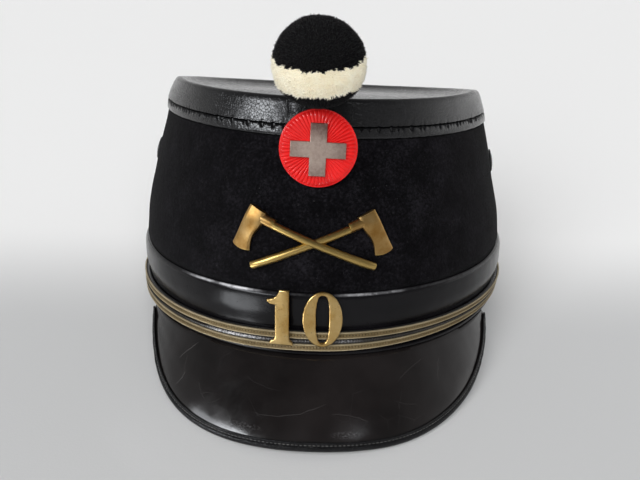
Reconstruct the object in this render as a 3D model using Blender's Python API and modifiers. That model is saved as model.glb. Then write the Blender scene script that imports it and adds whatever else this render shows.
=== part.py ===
"""Shako hat: felt body, leather crown, headband and peak, chin strap with two gold braids,
brass ornaments and a pompom.

Lengths are in millimetres in the hat's own frame, and become metres when a mesh is made. In that
frame z is 0 at the foot of the head opening, -Y is the front, and +X is on the right of a viewer who
faces the hat. The rings of the hat are ellipses, longer from front to back. The finished hat is tilted
back until it stands on the edge of its peak and on the back of its foot.
"""

import math
import random

import bmesh
import bpy
from mathutils import Matrix, Vector

MM = 0.001
GAP = 0.3
SEGMENTS = 48
DEPTH_TO_WIDTH = 1.2

# Heights on the hat.
FOOT_TOP = 1.7
BAND_TOP = 26.5
FLANGE_LOW = 86.8
SEAM = 91.15
CROWN_LEAN = math.tan(math.radians(1.6))
CROWN_BACK_DROP = 11.6
CROWN_DROP_START = -33.0
CROWN_DROP_END = 88.0
CROWN_DROP_POWER = 1.16

# Felt wall: its outside from the foot up, and the heights that its inside repeats.
FELT_WALL = 3.0
FELT_OUTSIDE = (
    # height, half width
    (2.0, 88.2),
    (26.2, 88.2),
    (28.8, 89.2),
    (40.0, 88.3),
    (55.0, 86.0),
    (70.0, 83.0),
    (86.2, 78.4),
    (86.4, 77.0),
    (97.9, 74.4),
)
FELT_INSIDE_HEIGHTS = (97.9, 86.0, 70.0, 50.0, 30.0, 2.0)

# Leather crown: the cap's outside from the middle of the dish to the seam, then its underside back.
CROWN_OUTSIDE = (
    # half width, height
    (0.0, 98.8),
    (66.0, 98.0),
    (68.6, 98.7),
    (70.6, 100.3),
    (73.0, 101.4),
    (75.0, 100.7),
    (76.3, 98.8),
    (77.3, 95.2),
    (78.1, SEAM + 0.15),
)
CROWN_UNDERSIDE = (
    (76.5, SEAM + 0.15),
    (75.4, 97.4),
    (73.2, 99.6),
    (70.9, 98.9),
    (67.2, 96.5),
    (0.0, 97.2),
)
FLANGE_SECTION = (
    # half width, height
    (77.3, FLANGE_LOW),
    (78.4, FLANGE_LOW),
    (78.8, FLANGE_LOW + 0.5),
    (78.3, SEAM - 0.15),
    (76.8, SEAM - 0.15),
)

# Headband, from the inner edge of its turned-under foot, up its outside and down its inside.
HEADBAND_SECTION = (
    # half width, height
    (84.9, 0.0),
    (89.8, 0.0),
    (90.6, 0.6),
    (90.6, 1.4),
    (89.4, 2.0),
    (89.1, 2.8),
    (89.2, 12.0),
    (89.9, 17.0),
    (90.0, 25.9),
    (89.6, BAND_TOP),
    (88.5, 26.3),
    (88.5, FOOT_TOP),
    (84.9, FOOT_TOP),
)
HEADBAND_HALF_WIDTH = 90.0

# Chin strap and the two braids on it.
STRAP_LOW = 2.4
STRAP_HIGH = 10.6
STRAP_INNER = 89.55
STRAP_OUTER = 90.75
STRAP_EDGE = 0.25
BRAID_WIDTH = 3.1
BRAID_THICKNESS = 0.75
BRAID_VALLEY = 0.3
BRAID_RIDGE = 0.35

# Peak: its reach from the foot falls from the middle to nothing at its ends, and it steepens there.
PEAK_ROOT_HALF_WIDTH = 90.3
PEAK_ROOT_HEIGHT = -GAP
PEAK_TONGUE = 4.2
PEAK_FOLD = 0.5
PEAK_REACH = 37.3
PEAK_END = math.radians(60.75)
PEAK_CUT = math.radians(57.5)
PEAK_SHAPE = 3.0
PEAK_TAPER = 1.2
PEAK_SLOPE_FRONT = math.radians(48.0)
PEAK_SLOPE_SIDE = math.radians(68.0)
PEAK_SLOPE_POWER = 1.5
PEAK_BULGE = 1.0
PEAK_THICKNESS = 1.6
PEAK_COLUMNS = 28
PEAK_ROWS = (0.05, 0.28, 0.52, 0.76, 1.0)
BINDING_DEPTH = 2.6
BINDING_WALL = 0.6
BINDING_NOSE = 1.1
BINDING_SHOULDER = 0.75
BINDING_LIP = 0.1
BINDING_SHARE_AT_ENDS = 0.5

# Ornaments on the front: x and height of the middle, and the distance out from the wall.
COCKADE_RADIUS = 15.9
COCKADE_FLUTES = 56
COCKADE_FLUTE_DEPTH = 0.35
COCKADE_X = -0.3
COCKADE_HEIGHT = 83.3
COCKADE_OUT = 3.15
COCKADE_TILT = math.radians(8.5)
COCKADE_TURN = math.radians(-2.2)
COCKADE_PROFILE = (
    # radius, height of the crest, share of the flute's depth
    (4.4, 2.5, 0.3),
    (11.0, 2.5, 1.0),
    (15.1, 1.6, 1.0),
    (15.9, 0.9, 0.0),
    (15.5, 0.0, 0.0),
)
CROSS_SPAN = 21.6
CROSS_ARM = 6.6
CROSS_THICKNESS = 1.3
CROSS_BEVEL = 0.35

AXES_X = -2.1
AXES_HEIGHT = 47.5
AXES_STANDOFF = 0.4
HAFT_RADIUS = 1.5
HAFT_START = (-22.0, 8.2)
HAFT_END = (24.6, -10.4)
COLLAR_START = (-20.6, 8.1)
COLLAR_END = (-14.4, 5.6)
COLLAR_RADIUS = 1.95
HEAD_THICKNESS = 4.1
HEAD_BEVEL = 0.5
HEAD_TAPER_SHARE = 0.6
BIT_THICKNESS = 1.4
HAFT_RISE = 0.15
FRONT_HAFT_RISE = 0.8
COLLAR_RISE = 0.07
AXE_HEAD = (
    # across, up
    (-24.4, 12.4),
    (-19.2, 10.2),
    (-20.4, 4.6),
    (-22.9, 1.6),
    (-24.4, -1.6),
    (-24.9, -5.7),
    (-28.7, -5.2),
    (-31.8, -3.1),
)
BADGE_SLICE = 5.0

NUMERAL_THICKNESS = 1.6
NUMERAL_BEVEL = 0.45
NUMERAL_HEIGHT = 17.0
NUMERAL_OUT = 2.3
NUMERAL_POST_RADIUS = 0.9
NUMERAL_POST_SUNK = 0.5
ONE_X = -13.3
ONE_OUTLINE = (
    # across from the middle of the stem, up from the foot
    (-4.9, 0.0),
    (4.2, 0.0),
    (4.0, 1.6),
    (2.9, 2.3),
    (2.5, 3.6),
    (2.5, 23.5),
    (-1.0, 23.5),
    (-1.5, 22.1),
    (-2.7, 20.4),
    (-4.4, 19.5),
    (-6.4, 19.2),
    (-6.1, 18.1),
    (-4.8, 17.3),
    (-2.6, 17.2),
    (-2.6, 3.6),
    (-3.1, 2.4),
    (-4.6, 1.7),
)
NOUGHT_X = 2.9
NOUGHT_HALF_WIDTH = 8.1
NOUGHT_HALF_HEIGHT = 11.8
NOUGHT_SLOT_HALF_WIDTH = 2.6
NOUGHT_SLOT_HALF_HEIGHT = 10.1
NOUGHT_SLOT_SHAPE = 3.0
NOUGHT_POINTS = 24

# Pompom, its wire pin and the leather loop that holds the pin.
POMPOM_RADIUS = 17.5
POMPOM_LOCK = 0.4
POMPOM_CENTRE = Vector((-0.4, -104.0, 116.1))
POMPOM_STRIPE = (-12.6, 1.2)
POMPOM_BORE_RADIUS = 0.9
POMPOM_BORE_DEPTH = 7.0
POMPOM_BORE_LEAD = 3.0
PIN_RADIUS = 0.6
PIN_OUT = 0.95
PIN_FOOT_HEIGHT = 93.5
PIN_BEND_HEIGHT = 100.4
PIN_KNEE = 1.5
SOCKET_HALF_WIDTH = 12.5
SOCKET_LOW = 87.0
SOCKET_HIGH = 100.2
SOCKET_WALL = 0.9
SOCKET_PROUD_LOW = 2.4
SOCKET_PROUD_HIGH = 2.9
SOCKET_COLUMNS = 10
SOCKET_ARCH_POWER = 4
SOCKET_HOLLOW_SHARE = 0.88

VENT_ANGLE = math.radians(83.0)
VENT_HEIGHT = 66.0
VENT_PROFILE = (
    # radius, height above the wall
    (0.0, 1.2),
    (3.0, 1.05),
    (4.7, 0.65),
    (5.5, 0.1),
    (5.5, 0.0),
    (0.0, 0.0),
)
VENT_STEPS = 16


# ---------------------------------------------------------------- scene and materials


def clear_scene():
    for found in list(bpy.data.objects):
        bpy.data.objects.remove(found, do_unlink=True)


def new_collection(name):
    made = bpy.data.collections.new(name)
    bpy.context.scene.collection.children.link(made)
    return made


def make_material(name, colour, roughness, metallic=0.0):
    made = bpy.data.materials.new(name)
    made.use_nodes = True
    shader = made.node_tree.nodes["Principled BSDF"]
    shader.inputs["Base Color"].default_value = (*colour, 1.0)
    shader.inputs["Roughness"].default_value = roughness
    shader.inputs["Metallic"].default_value = metallic
    made.diffuse_color = (*colour, 1.0)
    return made


class Hat:
    """The collection, the parent empty and the materials that every piece is made with."""

    def __init__(self):
        self.collection = new_collection("shako_hat")
        self.helpers = new_collection("cutters")
        self.frame = bpy.data.objects.new("hat_frame", None)
        self.collection.objects.link(self.frame)
        self.felt = make_material("felt", (0.012, 0.011, 0.012), 0.95)
        self.grained = make_material("grained_leather", (0.022, 0.022, 0.024), 0.42)
        self.patent = make_material("patent_leather", (0.01, 0.01, 0.011), 0.18)
        self.strap_leather = make_material("strap_leather", (0.015, 0.014, 0.014), 0.4)
        self.braid = make_material("gold_braid", (0.43, 0.35, 0.2), 0.5, 0.5)
        self.brass = make_material("brass", (0.62, 0.45, 0.2), 0.28, 1.0)
        self.red = make_material("red_lacquer", (0.6, 0.02, 0.02), 0.25)
        self.white_metal = make_material("white_metal", (0.42, 0.38, 0.35), 0.5, 0.8)
        self.steel = make_material("steel_wire", (0.3, 0.3, 0.3), 0.4, 1.0)
        self.black_wool = make_material("black_wool", (0.01, 0.01, 0.012), 1.0)
        self.cream_wool = make_material("cream_wool", (0.78, 0.71, 0.56), 1.0)
        self.vent_metal = make_material("vent_metal", (0.015, 0.015, 0.016), 0.35)

    def add(self, name, bm, materials, sharp_degrees=35.0):
        """Links a mesh drawn in millimetres as an object of the hat, with its faces pointing out."""
        bmesh.ops.recalc_face_normals(bm, faces=bm.faces)
        bmesh.ops.scale(bm, vec=(MM, MM, MM), verts=bm.verts)
        mesh = bpy.data.meshes.new(name)
        bm.to_mesh(mesh)
        bm.free()
        for material in materials:
            mesh.materials.append(material)
        mesh.shade_smooth()
        mesh.set_sharp_from_angle(angle=math.radians(sharp_degrees))
        made = bpy.data.objects.new(name, mesh)
        self.collection.objects.link(made)
        made.parent = self.frame
        return made


# ---------------------------------------------------------------- the hat's surface


def interpolate(table, at):
    """Value at a place in a table of (place, value) rows that rise in place; the end rows carry on."""
    for (low, low_value), (high, high_value) in zip(table, table[1:]):
        if at <= high:
            break
    return low_value + (high_value - low_value) * (at - low) / (high - low)


def felt_half_width(height):
    return interpolate(FELT_OUTSIDE[2:7], height)


def crown_half_width(height):
    """The flange and the cap's side, as one slope that ornaments in front of them follow."""
    return interpolate(((FLANGE_LOW, 78.8), (95.2, 77.3)), height)


def headband_half_width(_height):
    return HEADBAND_HALF_WIDTH


def lean(point):
    """The crown sits lower behind than in front, and a little lower on its +X side.

    From the headband up to the flange the heights are lowered more and more; above it, by all of it.
    """
    share = min(max((point.z - BAND_TOP) / (FLANGE_LOW - BAND_TOP), 0.0), 1.0)
    behind = max(point.y - CROWN_DROP_START, 0.0) / (CROWN_DROP_END - CROWN_DROP_START)
    drop = CROWN_LEAN * point.x + CROWN_BACK_DROP * behind**CROWN_DROP_POWER
    return Vector((point.x, point.y, point.z - share * drop))


def ring_point(angle, half_width, height, out=0.0):
    """Point on an elliptical ring, moved out by a wall thickness. Angle 0 is the front."""
    x = (half_width + out) * math.sin(angle)
    y = -(half_width * DEPTH_TO_WIDTH + out) * math.cos(angle)
    return lean(Vector((x, y, height)))


def wall_point(half_width_at, angle, height, out):
    """Point at a distance out from the wall, along the wall's normal."""
    a = half_width_at(height)
    b = a * DEPTH_TO_WIDTH
    rise = (half_width_at(height + 0.5) - half_width_at(height - 0.5)) / a
    on_wall = Vector((a * math.sin(angle), -b * math.cos(angle), height))
    normal = Vector((on_wall.x / a**2, on_wall.y / b**2, -rise)).normalized()
    return lean(on_wall + normal * out)


def angle_at(half_width_at, x, height):
    return math.asin(x / half_width_at(height))


def wall_frame(half_width_at, angle, height, out):
    """Matrix of a plate on the wall: its X runs along the wall, its Y up it, and its Z points out."""
    step = 0.01
    origin = wall_point(half_width_at, angle, height, out)
    across = wall_point(half_width_at, angle + step, height, out) - origin
    up = wall_point(half_width_at, angle, height + 1.0, out) - origin
    across.normalize()
    outward = across.cross(up).normalized()
    up = outward.cross(across)
    matrix = Matrix((across, up, outward)).transposed().to_4x4()
    matrix.translation = origin * MM
    return matrix


# ---------------------------------------------------------------- ways of making a mesh


def bridge(bm, first, second):
    """Faces between two rows of points, either of which may be a single point."""
    count = max(len(first), len(second))
    for i in range(count):
        j = (i + 1) % count
        corners = [first[i % len(first)], first[j % len(first)]]
        corners += [second[j % len(second)], second[i % len(second)]]
        bm.faces.new(dict.fromkeys(corners))


def shell_of_rings(rows, closed):
    """Mesh through elliptical rings of (half width, height, out); a half width of 0 is a pole."""
    bm = bmesh.new()
    rings = []
    for half_width, height, out in rows:
        count = SEGMENTS if half_width else 1
        angles = [2 * math.pi * i / SEGMENTS for i in range(count)]
        rings.append([bm.verts.new(ring_point(a, half_width, height, out)) for a in angles])
    following = rings[1:] + rings[:1] if closed else rings[1:]
    for first, second in zip(rings, following):
        bridge(bm, first, second)
    return bm


def sweep_of_sections(sections):
    """Closed mesh through like sections, each a closed loop of points, with flat ends."""
    bm = bmesh.new()
    loops = [[bm.verts.new(point) for point in section] for section in sections]
    for first, second in zip(loops, loops[1:]):
        bridge(bm, first, second)
    bm.faces.new(loops[0])
    bm.faces.new(reversed(loops[-1]))
    return bm


def applied(name, source):
    """Mesh of an object as evaluated, with coincident points joined. The object is removed."""
    bpy.context.view_layer.update()
    graph = bpy.context.evaluated_depsgraph_get()
    mesh = bpy.data.meshes.new_from_object(source.evaluated_get(graph))
    mesh.name = name
    bm = bmesh.new()
    bm.from_mesh(mesh)
    bm.transform(source.matrix_world)
    bmesh.ops.remove_doubles(bm, verts=bm.verts, dist=0.0001)
    bpy.data.objects.remove(source, do_unlink=True)
    bpy.data.meshes.remove(mesh)
    return bm


def plate(hat, outlines, thickness, bevel):
    """Flat plate with bevelled edges, in millimetres, its back at z 0; inner outlines are holes."""
    curve = bpy.data.curves.new("outline", "CURVE")
    curve.dimensions = "2D"
    curve.fill_mode = "BOTH"
    curve.bevel_depth = bevel
    curve.bevel_resolution = 0
    curve.offset = -bevel
    curve.extrude = thickness / 2 - bevel
    for outline in outlines:
        spline = curve.splines.new("POLY")
        spline.points.add(len(outline) - 1)
        spline.use_cyclic_u = True
        for point, (across, up) in zip(spline.points, outline):
            point.co = (across, up, 0.0, 1.0)
    drawn = bpy.data.objects.new("outline", curve)
    hat.helpers.objects.link(drawn)
    bm = applied("outline", drawn)
    bmesh.ops.translate(bm, vec=(0.0, 0.0, thickness / 2), verts=bm.verts)
    return bm


def rod(start, end, radius, sides):
    """Cylinder between two points."""
    start, end = Vector(start), Vector(end)
    bm = bmesh.new()
    bmesh.ops.create_cone(
        bm,
        cap_ends=True,
        segments=sides,
        radius1=radius,
        radius2=radius,
        depth=(end - start).length,
    )
    turn = (end - start).to_track_quat("Z", "Y").to_matrix().to_4x4()
    bm.transform(Matrix.Translation((start + end) / 2) @ turn)
    return bm


def helper_object(hat, name, bm):
    bmesh.ops.recalc_face_normals(bm, faces=bm.faces)
    mesh = bpy.data.meshes.new(name)
    bm.to_mesh(mesh)
    bm.free()
    made = bpy.data.objects.new(name, mesh)
    made.hide_render = True
    made.display_type = "WIRE"
    hat.helpers.objects.link(made)
    return made


def combined(hat, solids, operation="UNION"):
    """The first solid joined with the others, or cut by them, as one mesh."""
    helpers = [helper_object(hat, "solid", bm) for bm in solids]
    main = helpers[0]
    for other in helpers[1:]:
        modifier = main.modifiers.new("combine", "BOOLEAN")
        modifier.operation = operation
        modifier.object = other
    bm = applied("combined", main)
    for other in helpers[1:]:
        bpy.data.objects.remove(other, do_unlink=True)
    return bm


# ---------------------------------------------------------------- body and crown


def make_felt_body(hat):
    outside = [(half_width, height, 0.0) for height, half_width in FELT_OUTSIDE]
    inside = []
    for height in FELT_INSIDE_HEIGHTS:
        covered = min(max(height, FELT_OUTSIDE[0][0]), FELT_OUTSIDE[-1][0])
        inside.append((interpolate(FELT_OUTSIDE, covered), height, -FELT_WALL))
    hat.add("felt_body", shell_of_rings(outside + inside, closed=True), [hat.felt])


def make_crown(hat):
    cap = [(half_width, height, 0.0) for half_width, height in CROWN_OUTSIDE + CROWN_UNDERSIDE]
    hat.add("crown_top", shell_of_rings(cap, closed=False), [hat.grained], 50.0)
    flange = [(half_width, height, 0.0) for half_width, height in FLANGE_SECTION]
    hat.add("crown_flange", shell_of_rings(flange, closed=True), [hat.grained])


def make_headband(hat):
    rows = [(half_width, height, 0.0) for half_width, height in HEADBAND_SECTION]
    hat.add("headband", shell_of_rings(rows, closed=True), [hat.patent])


def make_strap(hat):
    rows = [
        (STRAP_INNER, STRAP_LOW, 0.0),
        (STRAP_OUTER - STRAP_EDGE, STRAP_LOW, 0.0),
        (STRAP_OUTER, STRAP_LOW + STRAP_EDGE, 0.0),
        (STRAP_OUTER, STRAP_HIGH - STRAP_EDGE, 0.0),
        (STRAP_OUTER - STRAP_EDGE, STRAP_HIGH, 0.0),
        (STRAP_INNER, STRAP_HIGH, 0.0),
    ]
    hat.add("strap", shell_of_rings(rows, closed=True), [hat.strap_leather])


def make_braid(hat, name, low):
    """Flat woven braid with a raised edge along each side."""
    inner = STRAP_OUTER + GAP
    outer = inner + BRAID_THICKNESS
    high = low + BRAID_WIDTH
    rows = [
        (inner, low, 0.0),
        (outer, low + BRAID_RIDGE, 0.0),
        (outer - BRAID_VALLEY, (low + high) / 2, 0.0),
        (outer, high - BRAID_RIDGE, 0.0),
        (inner, high, 0.0),
    ]
    hat.add(name, shell_of_rings(rows, closed=True), [hat.braid], 60.0)


# ---------------------------------------------------------------- peak


def peak_reach(angle):
    share = min(abs(angle) / PEAK_END, 1.0)
    return PEAK_REACH * (1.0 - share**PEAK_SHAPE) ** PEAK_TAPER


def peak_point(angle, share):
    """Point on the peak's upper face, at a share of its reach from the root to the free edge."""
    steeper = (PEAK_SLOPE_SIDE - PEAK_SLOPE_FRONT) * (abs(angle) / PEAK_END) ** PEAK_SLOPE_POWER
    slope = PEAK_SLOPE_FRONT + steeper
    outward = Vector((math.sin(angle), -math.cos(angle) / DEPTH_TO_WIDTH, 0.0)).normalized()
    along = outward * math.cos(slope) - Vector((0.0, 0.0, math.sin(slope)))
    normal = outward * math.sin(slope) + Vector((0.0, 0.0, math.cos(slope)))
    reach = peak_reach(angle)
    bulge = PEAK_BULGE * (reach / PEAK_REACH) * math.sin(math.pi * share)
    root = ring_point(angle, PEAK_ROOT_HALF_WIDTH, PEAK_ROOT_HEIGHT)
    return root + along * (reach * share) + normal * bulge


def peak_angles():
    return [PEAK_CUT * (2.0 * i / PEAK_COLUMNS - 1.0) for i in range(PEAK_COLUMNS + 1)]


def make_peak(hat):
    """One open sheet, thickened downwards: a flat tongue under the foot, then the sloping face."""
    bm = bmesh.new()
    columns = []
    for angle in peak_angles():
        tongue = [
            ring_point(angle, PEAK_ROOT_HALF_WIDTH, PEAK_ROOT_HEIGHT, out)
            for out in (-PEAK_TONGUE, -PEAK_FOLD)
        ]
        face = [peak_point(angle, share) for share in PEAK_ROWS]
        columns.append([bm.verts.new(point) for point in tongue + face])
    for left, right in zip(columns, columns[1:]):
        for i in range(len(left) - 1):
            bm.faces.new((left[i], left[i + 1], right[i + 1], right[i]))
    made = hat.add("peak", bm, [hat.patent])
    upward = made.data.polygons[0].normal.z > 0
    thicken = made.modifiers.new("thickness", "SOLIDIFY")
    thicken.thickness = PEAK_THICKNESS * MM
    thicken.offset = -1.0 if upward else 1.0
    thicken.use_even_offset = True
    return made


def binding_section(angle):
    """U section square to the free edge, open towards the sheet that it wraps."""
    step = 0.004
    edge = peak_point(angle, 1.0)
    run = (peak_point(angle + step, 1.0) - peak_point(angle - step, 1.0)).normalized()
    inward = peak_point(angle, 0.96) - edge
    normal = run.cross(inward).normalized()
    if normal.z < 0:
        normal.negate()
    outward = run.cross(normal).normalized()
    if outward.dot(inward) > 0:
        outward.negate()
    middle = edge - normal * (PEAK_THICKNESS / 2)
    slot = PEAK_THICKNESS / 2 + GAP
    side = slot + BINDING_WALL
    depth = min(BINDING_DEPTH, BINDING_SHARE_AT_ENDS * peak_reach(angle))
    upper = [
        (BINDING_NOSE, 0.0),
        (BINDING_SHOULDER, BINDING_SHOULDER * side),
        (0.0, side),
        (-depth, side - BINDING_LIP),
        (-depth, slot),
        (GAP, slot),
    ]
    lower = [(out, -up) for out, up in reversed(upper[1:])]
    return [middle + outward * out + normal * up for out, up in upper + lower]


def make_peak_binding(hat):
    sections = [binding_section(angle) for angle in peak_angles()]
    return hat.add("peak_binding", sweep_of_sections(sections), [hat.patent], 50.0)


# ---------------------------------------------------------------- ornaments


def make_cockade_disc(hat, place):
    """Domed disc pressed into radial flutes, with a plain rim and a flat back."""
    bm = bmesh.new()
    count = 2 * COCKADE_FLUTES
    rings = [[bm.verts.new((0.0, 0.0, COCKADE_PROFILE[0][1]))]]
    for radius, height, share in COCKADE_PROFILE:
        ring = []
        for i in range(count):
            angle = 2 * math.pi * i / count
            drop = COCKADE_FLUTE_DEPTH * share * (i % 2)
            ring.append(bm.verts.new((radius * math.cos(angle), radius * math.sin(angle), height - drop)))
        rings.append(ring)
    rings.append([bm.verts.new((0.0, 0.0, 0.0))])
    for first, second in zip(rings, rings[1:]):
        bridge(bm, first, second)
    made = hat.add("cockade_disc", bm, [hat.red], 20.0)
    made.matrix_basis = place


def make_cockade_cross(hat, place):
    long, short = CROSS_SPAN / 2, CROSS_ARM / 2
    quarter = [(short, short), (short, long), (-short, long)]
    outline = []
    for turn in range(4):
        angle = turn * math.pi / 2
        cos, sin = round(math.cos(angle)), round(math.sin(angle))
        outline += [(cos * x - sin * y, sin * x + cos * y) for x, y in quarter]
    made = hat.add("cockade_cross", plate(hat, [outline], CROSS_THICKNESS, CROSS_BEVEL), [hat.white_metal])
    made.matrix_basis = place @ Matrix.Translation((0.0, 0.0, (COCKADE_PROFILE[0][1] + GAP) * MM))


def make_cockade(hat):
    angle = angle_at(felt_half_width, COCKADE_X, COCKADE_HEIGHT)
    place = wall_frame(felt_half_width, angle, COCKADE_HEIGHT, COCKADE_OUT)
    place = place @ Matrix.Rotation(COCKADE_TILT, 4, "X") @ Matrix.Rotation(COCKADE_TURN, 4, "Z")
    make_cockade_disc(hat, place)
    make_cockade_cross(hat, place)


def axe_solids(hat, side, rise):
    """Haft, collar and head of one axe, flat on z 0. Side 1 has its head at -X, side -1 at +X."""

    def place(across, up, height):
        return Vector((side * across, up, height))

    height = HAFT_RADIUS + rise
    haft = rod(place(*HAFT_START, height), place(*HAFT_END, height), HAFT_RADIUS, 10)
    collar_ends = [place(*end, COLLAR_RADIUS + COLLAR_RISE) for end in (COLLAR_START, COLLAR_END)]
    collar = rod(*collar_ends, COLLAR_RADIUS, 10)
    outline = [(side * across, up) for across, up in AXE_HEAD]
    head = plate(hat, [outline], HEAD_THICKNESS, HEAD_BEVEL)
    top = max(up for _, up in AXE_HEAD)
    low = min(up for _, up in AXE_HEAD)
    for vert in head.verts:
        share = min(max((vert.co.y - low) / (HEAD_TAPER_SHARE * (top - low)), 0.0), 1.0)
        vert.co.z *= (BIT_THICKNESS + (HEAD_THICKNESS - BIT_THICKNESS) * share) / HEAD_THICKNESS
    return [haft, collar, head]


def make_axes_badge(hat):
    """Two crossed axes, fused flat, then sliced and bent to follow the front of the felt."""
    solids = axe_solids(hat, 1, FRONT_HAFT_RISE) + axe_solids(hat, -1, HAFT_RISE)
    bm = combined(hat, solids)
    reach = int(max(abs(vert.co.x) for vert in bm.verts) // BADGE_SLICE)
    for i in range(-reach, reach + 1):
        geometry = bm.verts[:] + bm.edges[:] + bm.faces[:]
        bmesh.ops.bisect_plane(
            bm, geom=geometry, plane_co=(i * BADGE_SLICE, 0.0, 0.0), plane_no=(1.0, 0.0, 0.0)
        )
    bmesh.ops.triangulate(bm, faces=bm.faces)
    for vert in bm.verts:
        height = AXES_HEIGHT + vert.co.y
        angle = angle_at(felt_half_width, AXES_X + vert.co.x, height)
        vert.co = wall_point(felt_half_width, angle, height, AXES_STANDOFF + vert.co.z)
    hat.add("axes_badge", bm, [hat.brass])


def superellipse(half_width, half_height, shape, count):
    points = []
    for i in range(count):
        cos = math.cos(2 * math.pi * i / count)
        sin = math.sin(2 * math.pi * i / count)
        across = math.copysign(abs(cos) ** (2 / shape), cos) * half_width
        up = math.copysign(abs(sin) ** (2 / shape), sin) * half_height
        points.append((across, up))
    return points


def make_numeral(hat, name, x, outlines, posts):
    """Upright bevelled plate in front of the strap, with posts that reach back to the headband."""
    solids = [plate(hat, outlines, NUMERAL_THICKNESS, NUMERAL_BEVEL)]
    reach = NUMERAL_OUT - GAP
    for across, up in posts:
        solids.append(rod((across, up, -reach), (across, up, NUMERAL_POST_SUNK), NUMERAL_POST_RADIUS, 8))
    made = hat.add(name, combined(hat, solids), [hat.brass])
    angle = angle_at(headband_half_width, x, NUMERAL_HEIGHT)
    made.matrix_basis = wall_frame(headband_half_width, angle, NUMERAL_HEIGHT, NUMERAL_OUT)


def make_numerals(hat):
    middle = max(up for _, up in ONE_OUTLINE) / 2
    one = [(across, up - middle) for across, up in ONE_OUTLINE]
    make_numeral(hat, "numeral_one", ONE_X, [one], [(0.0, 3.0)])
    outer = superellipse(NOUGHT_HALF_WIDTH, NOUGHT_HALF_HEIGHT, 2.0, NOUGHT_POINTS)
    slot = superellipse(
        NOUGHT_SLOT_HALF_WIDTH, NOUGHT_SLOT_HALF_HEIGHT, NOUGHT_SLOT_SHAPE, NOUGHT_POINTS
    )
    beside = (NOUGHT_HALF_WIDTH + NOUGHT_SLOT_HALF_WIDTH) / 2
    make_numeral(hat, "numeral_nought", NOUGHT_X, [outer, slot], [(-beside, 3.0), (beside, 3.0)])


def make_vents(hat):
    """Domed buttons, one on each side of the felt."""
    for name, side in (("vent_left", -1), ("vent_right", 1)):
        bm = bmesh.new()
        points = [bm.verts.new((radius, 0.0, height)) for radius, height in VENT_PROFILE]
        for first, second in zip(points, points[1:]):
            bm.edges.new((first, second))
        made = hat.add(name, bm, [hat.vent_metal])
        turned = made.modifiers.new("turned", "SCREW")
        turned.steps = VENT_STEPS
        turned.render_steps = VENT_STEPS
        turned.use_merge_vertices = True
        turned.merge_threshold = 0.0001
        made.matrix_basis = wall_frame(felt_half_width, side * VENT_ANGLE, VENT_HEIGHT, GAP)


# ---------------------------------------------------------------- pompom


def crown_front(height, out):
    """Point at a distance out from the front of the crown band, in the pompom's plane."""
    angle = angle_at(crown_half_width, POMPOM_CENTRE.x, height)
    return wall_point(crown_half_width, angle, height, out)


def pin_bend():
    return crown_front(PIN_BEND_HEIGHT, PIN_OUT)


def make_pompom(hat):
    """Ball of short locks: a core whose points rise and fall, bored below for its pin."""
    random.seed(11)
    ball = bmesh.new()
    bmesh.ops.create_icosphere(ball, subdivisions=4, radius=POMPOM_RADIUS)
    for vert in ball.verts:
        vert.co += vert.co.normalized() * random.uniform(-POMPOM_LOCK, POMPOM_LOCK)
    bmesh.ops.translate(ball, vec=POMPOM_CENTRE, verts=ball.verts)
    inward = (POMPOM_CENTRE - pin_bend()).normalized()
    skin = POMPOM_CENTRE - inward * POMPOM_RADIUS
    bore = rod(skin - inward * POMPOM_BORE_LEAD, skin + inward * POMPOM_BORE_DEPTH, POMPOM_BORE_RADIUS, 8)
    bm = combined(hat, [ball, bore], "DIFFERENCE")
    low, high = POMPOM_STRIPE
    for face in bm.faces:
        level = face.calc_center_median().z - POMPOM_CENTRE.z
        face.material_index = int(low < level < high)
    hat.add("pompom", bm, [hat.black_wool, hat.cream_wool], 180.0)


def make_pompom_stem(hat):
    """Bent wire: up through the loop, then forward into the pompom's bore."""
    inward = (POMPOM_CENTRE - pin_bend()).normalized()
    end = POMPOM_CENTRE - inward * (POMPOM_RADIUS - POMPOM_BORE_DEPTH + GAP)
    curve = bpy.data.curves.new("pompom_stem", "CURVE")
    curve.dimensions = "3D"
    curve.bevel_depth = PIN_RADIUS * MM
    curve.bevel_resolution = 2
    curve.use_fill_caps = True
    route = [crown_front(PIN_FOOT_HEIGHT, PIN_OUT), pin_bend(), pin_bend() + inward * PIN_KNEE, end]
    spline = curve.splines.new("POLY")
    spline.points.add(len(route) - 1)
    for point, place in zip(spline.points, route):
        point.co = (*(place * MM), 1.0)
    curve.materials.append(hat.steel)
    made = bpy.data.objects.new("pompom_stem", curve)
    hat.collection.objects.link(made)
    made.parent = hat.frame


def socket_section(height):
    """Outline of the leather loop at one height: an arch whose feet lie on the crown."""
    share = (height - SOCKET_LOW) / (SOCKET_HIGH - SOCKET_LOW)
    proud = SOCKET_PROUD_LOW + (SOCKET_PROUD_HIGH - SOCKET_PROUD_LOW) * share
    rise = proud - GAP - SOCKET_WALL
    outer, inner = [], []
    for i in range(SOCKET_COLUMNS + 1):
        place = 2.0 * i / SOCKET_COLUMNS - 1.0
        angle = angle_at(crown_half_width, POMPOM_CENTRE.x + place * SOCKET_HALF_WIDTH, height)
        arch = rise * (1.0 - place**SOCKET_ARCH_POWER)
        hollow = rise * max(0.0, 1.0 - (place / SOCKET_HOLLOW_SHARE) ** SOCKET_ARCH_POWER)
        outer.append(wall_point(crown_half_width, angle, height, GAP + SOCKET_WALL + arch))
        inner.append(wall_point(crown_half_width, angle, height, GAP + hollow))
    return outer + inner[::-1]


def make_pompom_socket(hat):
    middle = (SOCKET_LOW + SOCKET_HIGH) / 2
    sections = [socket_section(height) for height in (SOCKET_LOW, middle, SOCKET_HIGH)]
    hat.add("pompom_socket", sweep_of_sections(sections), [hat.grained])


# ---------------------------------------------------------------- standing on the ground


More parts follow.
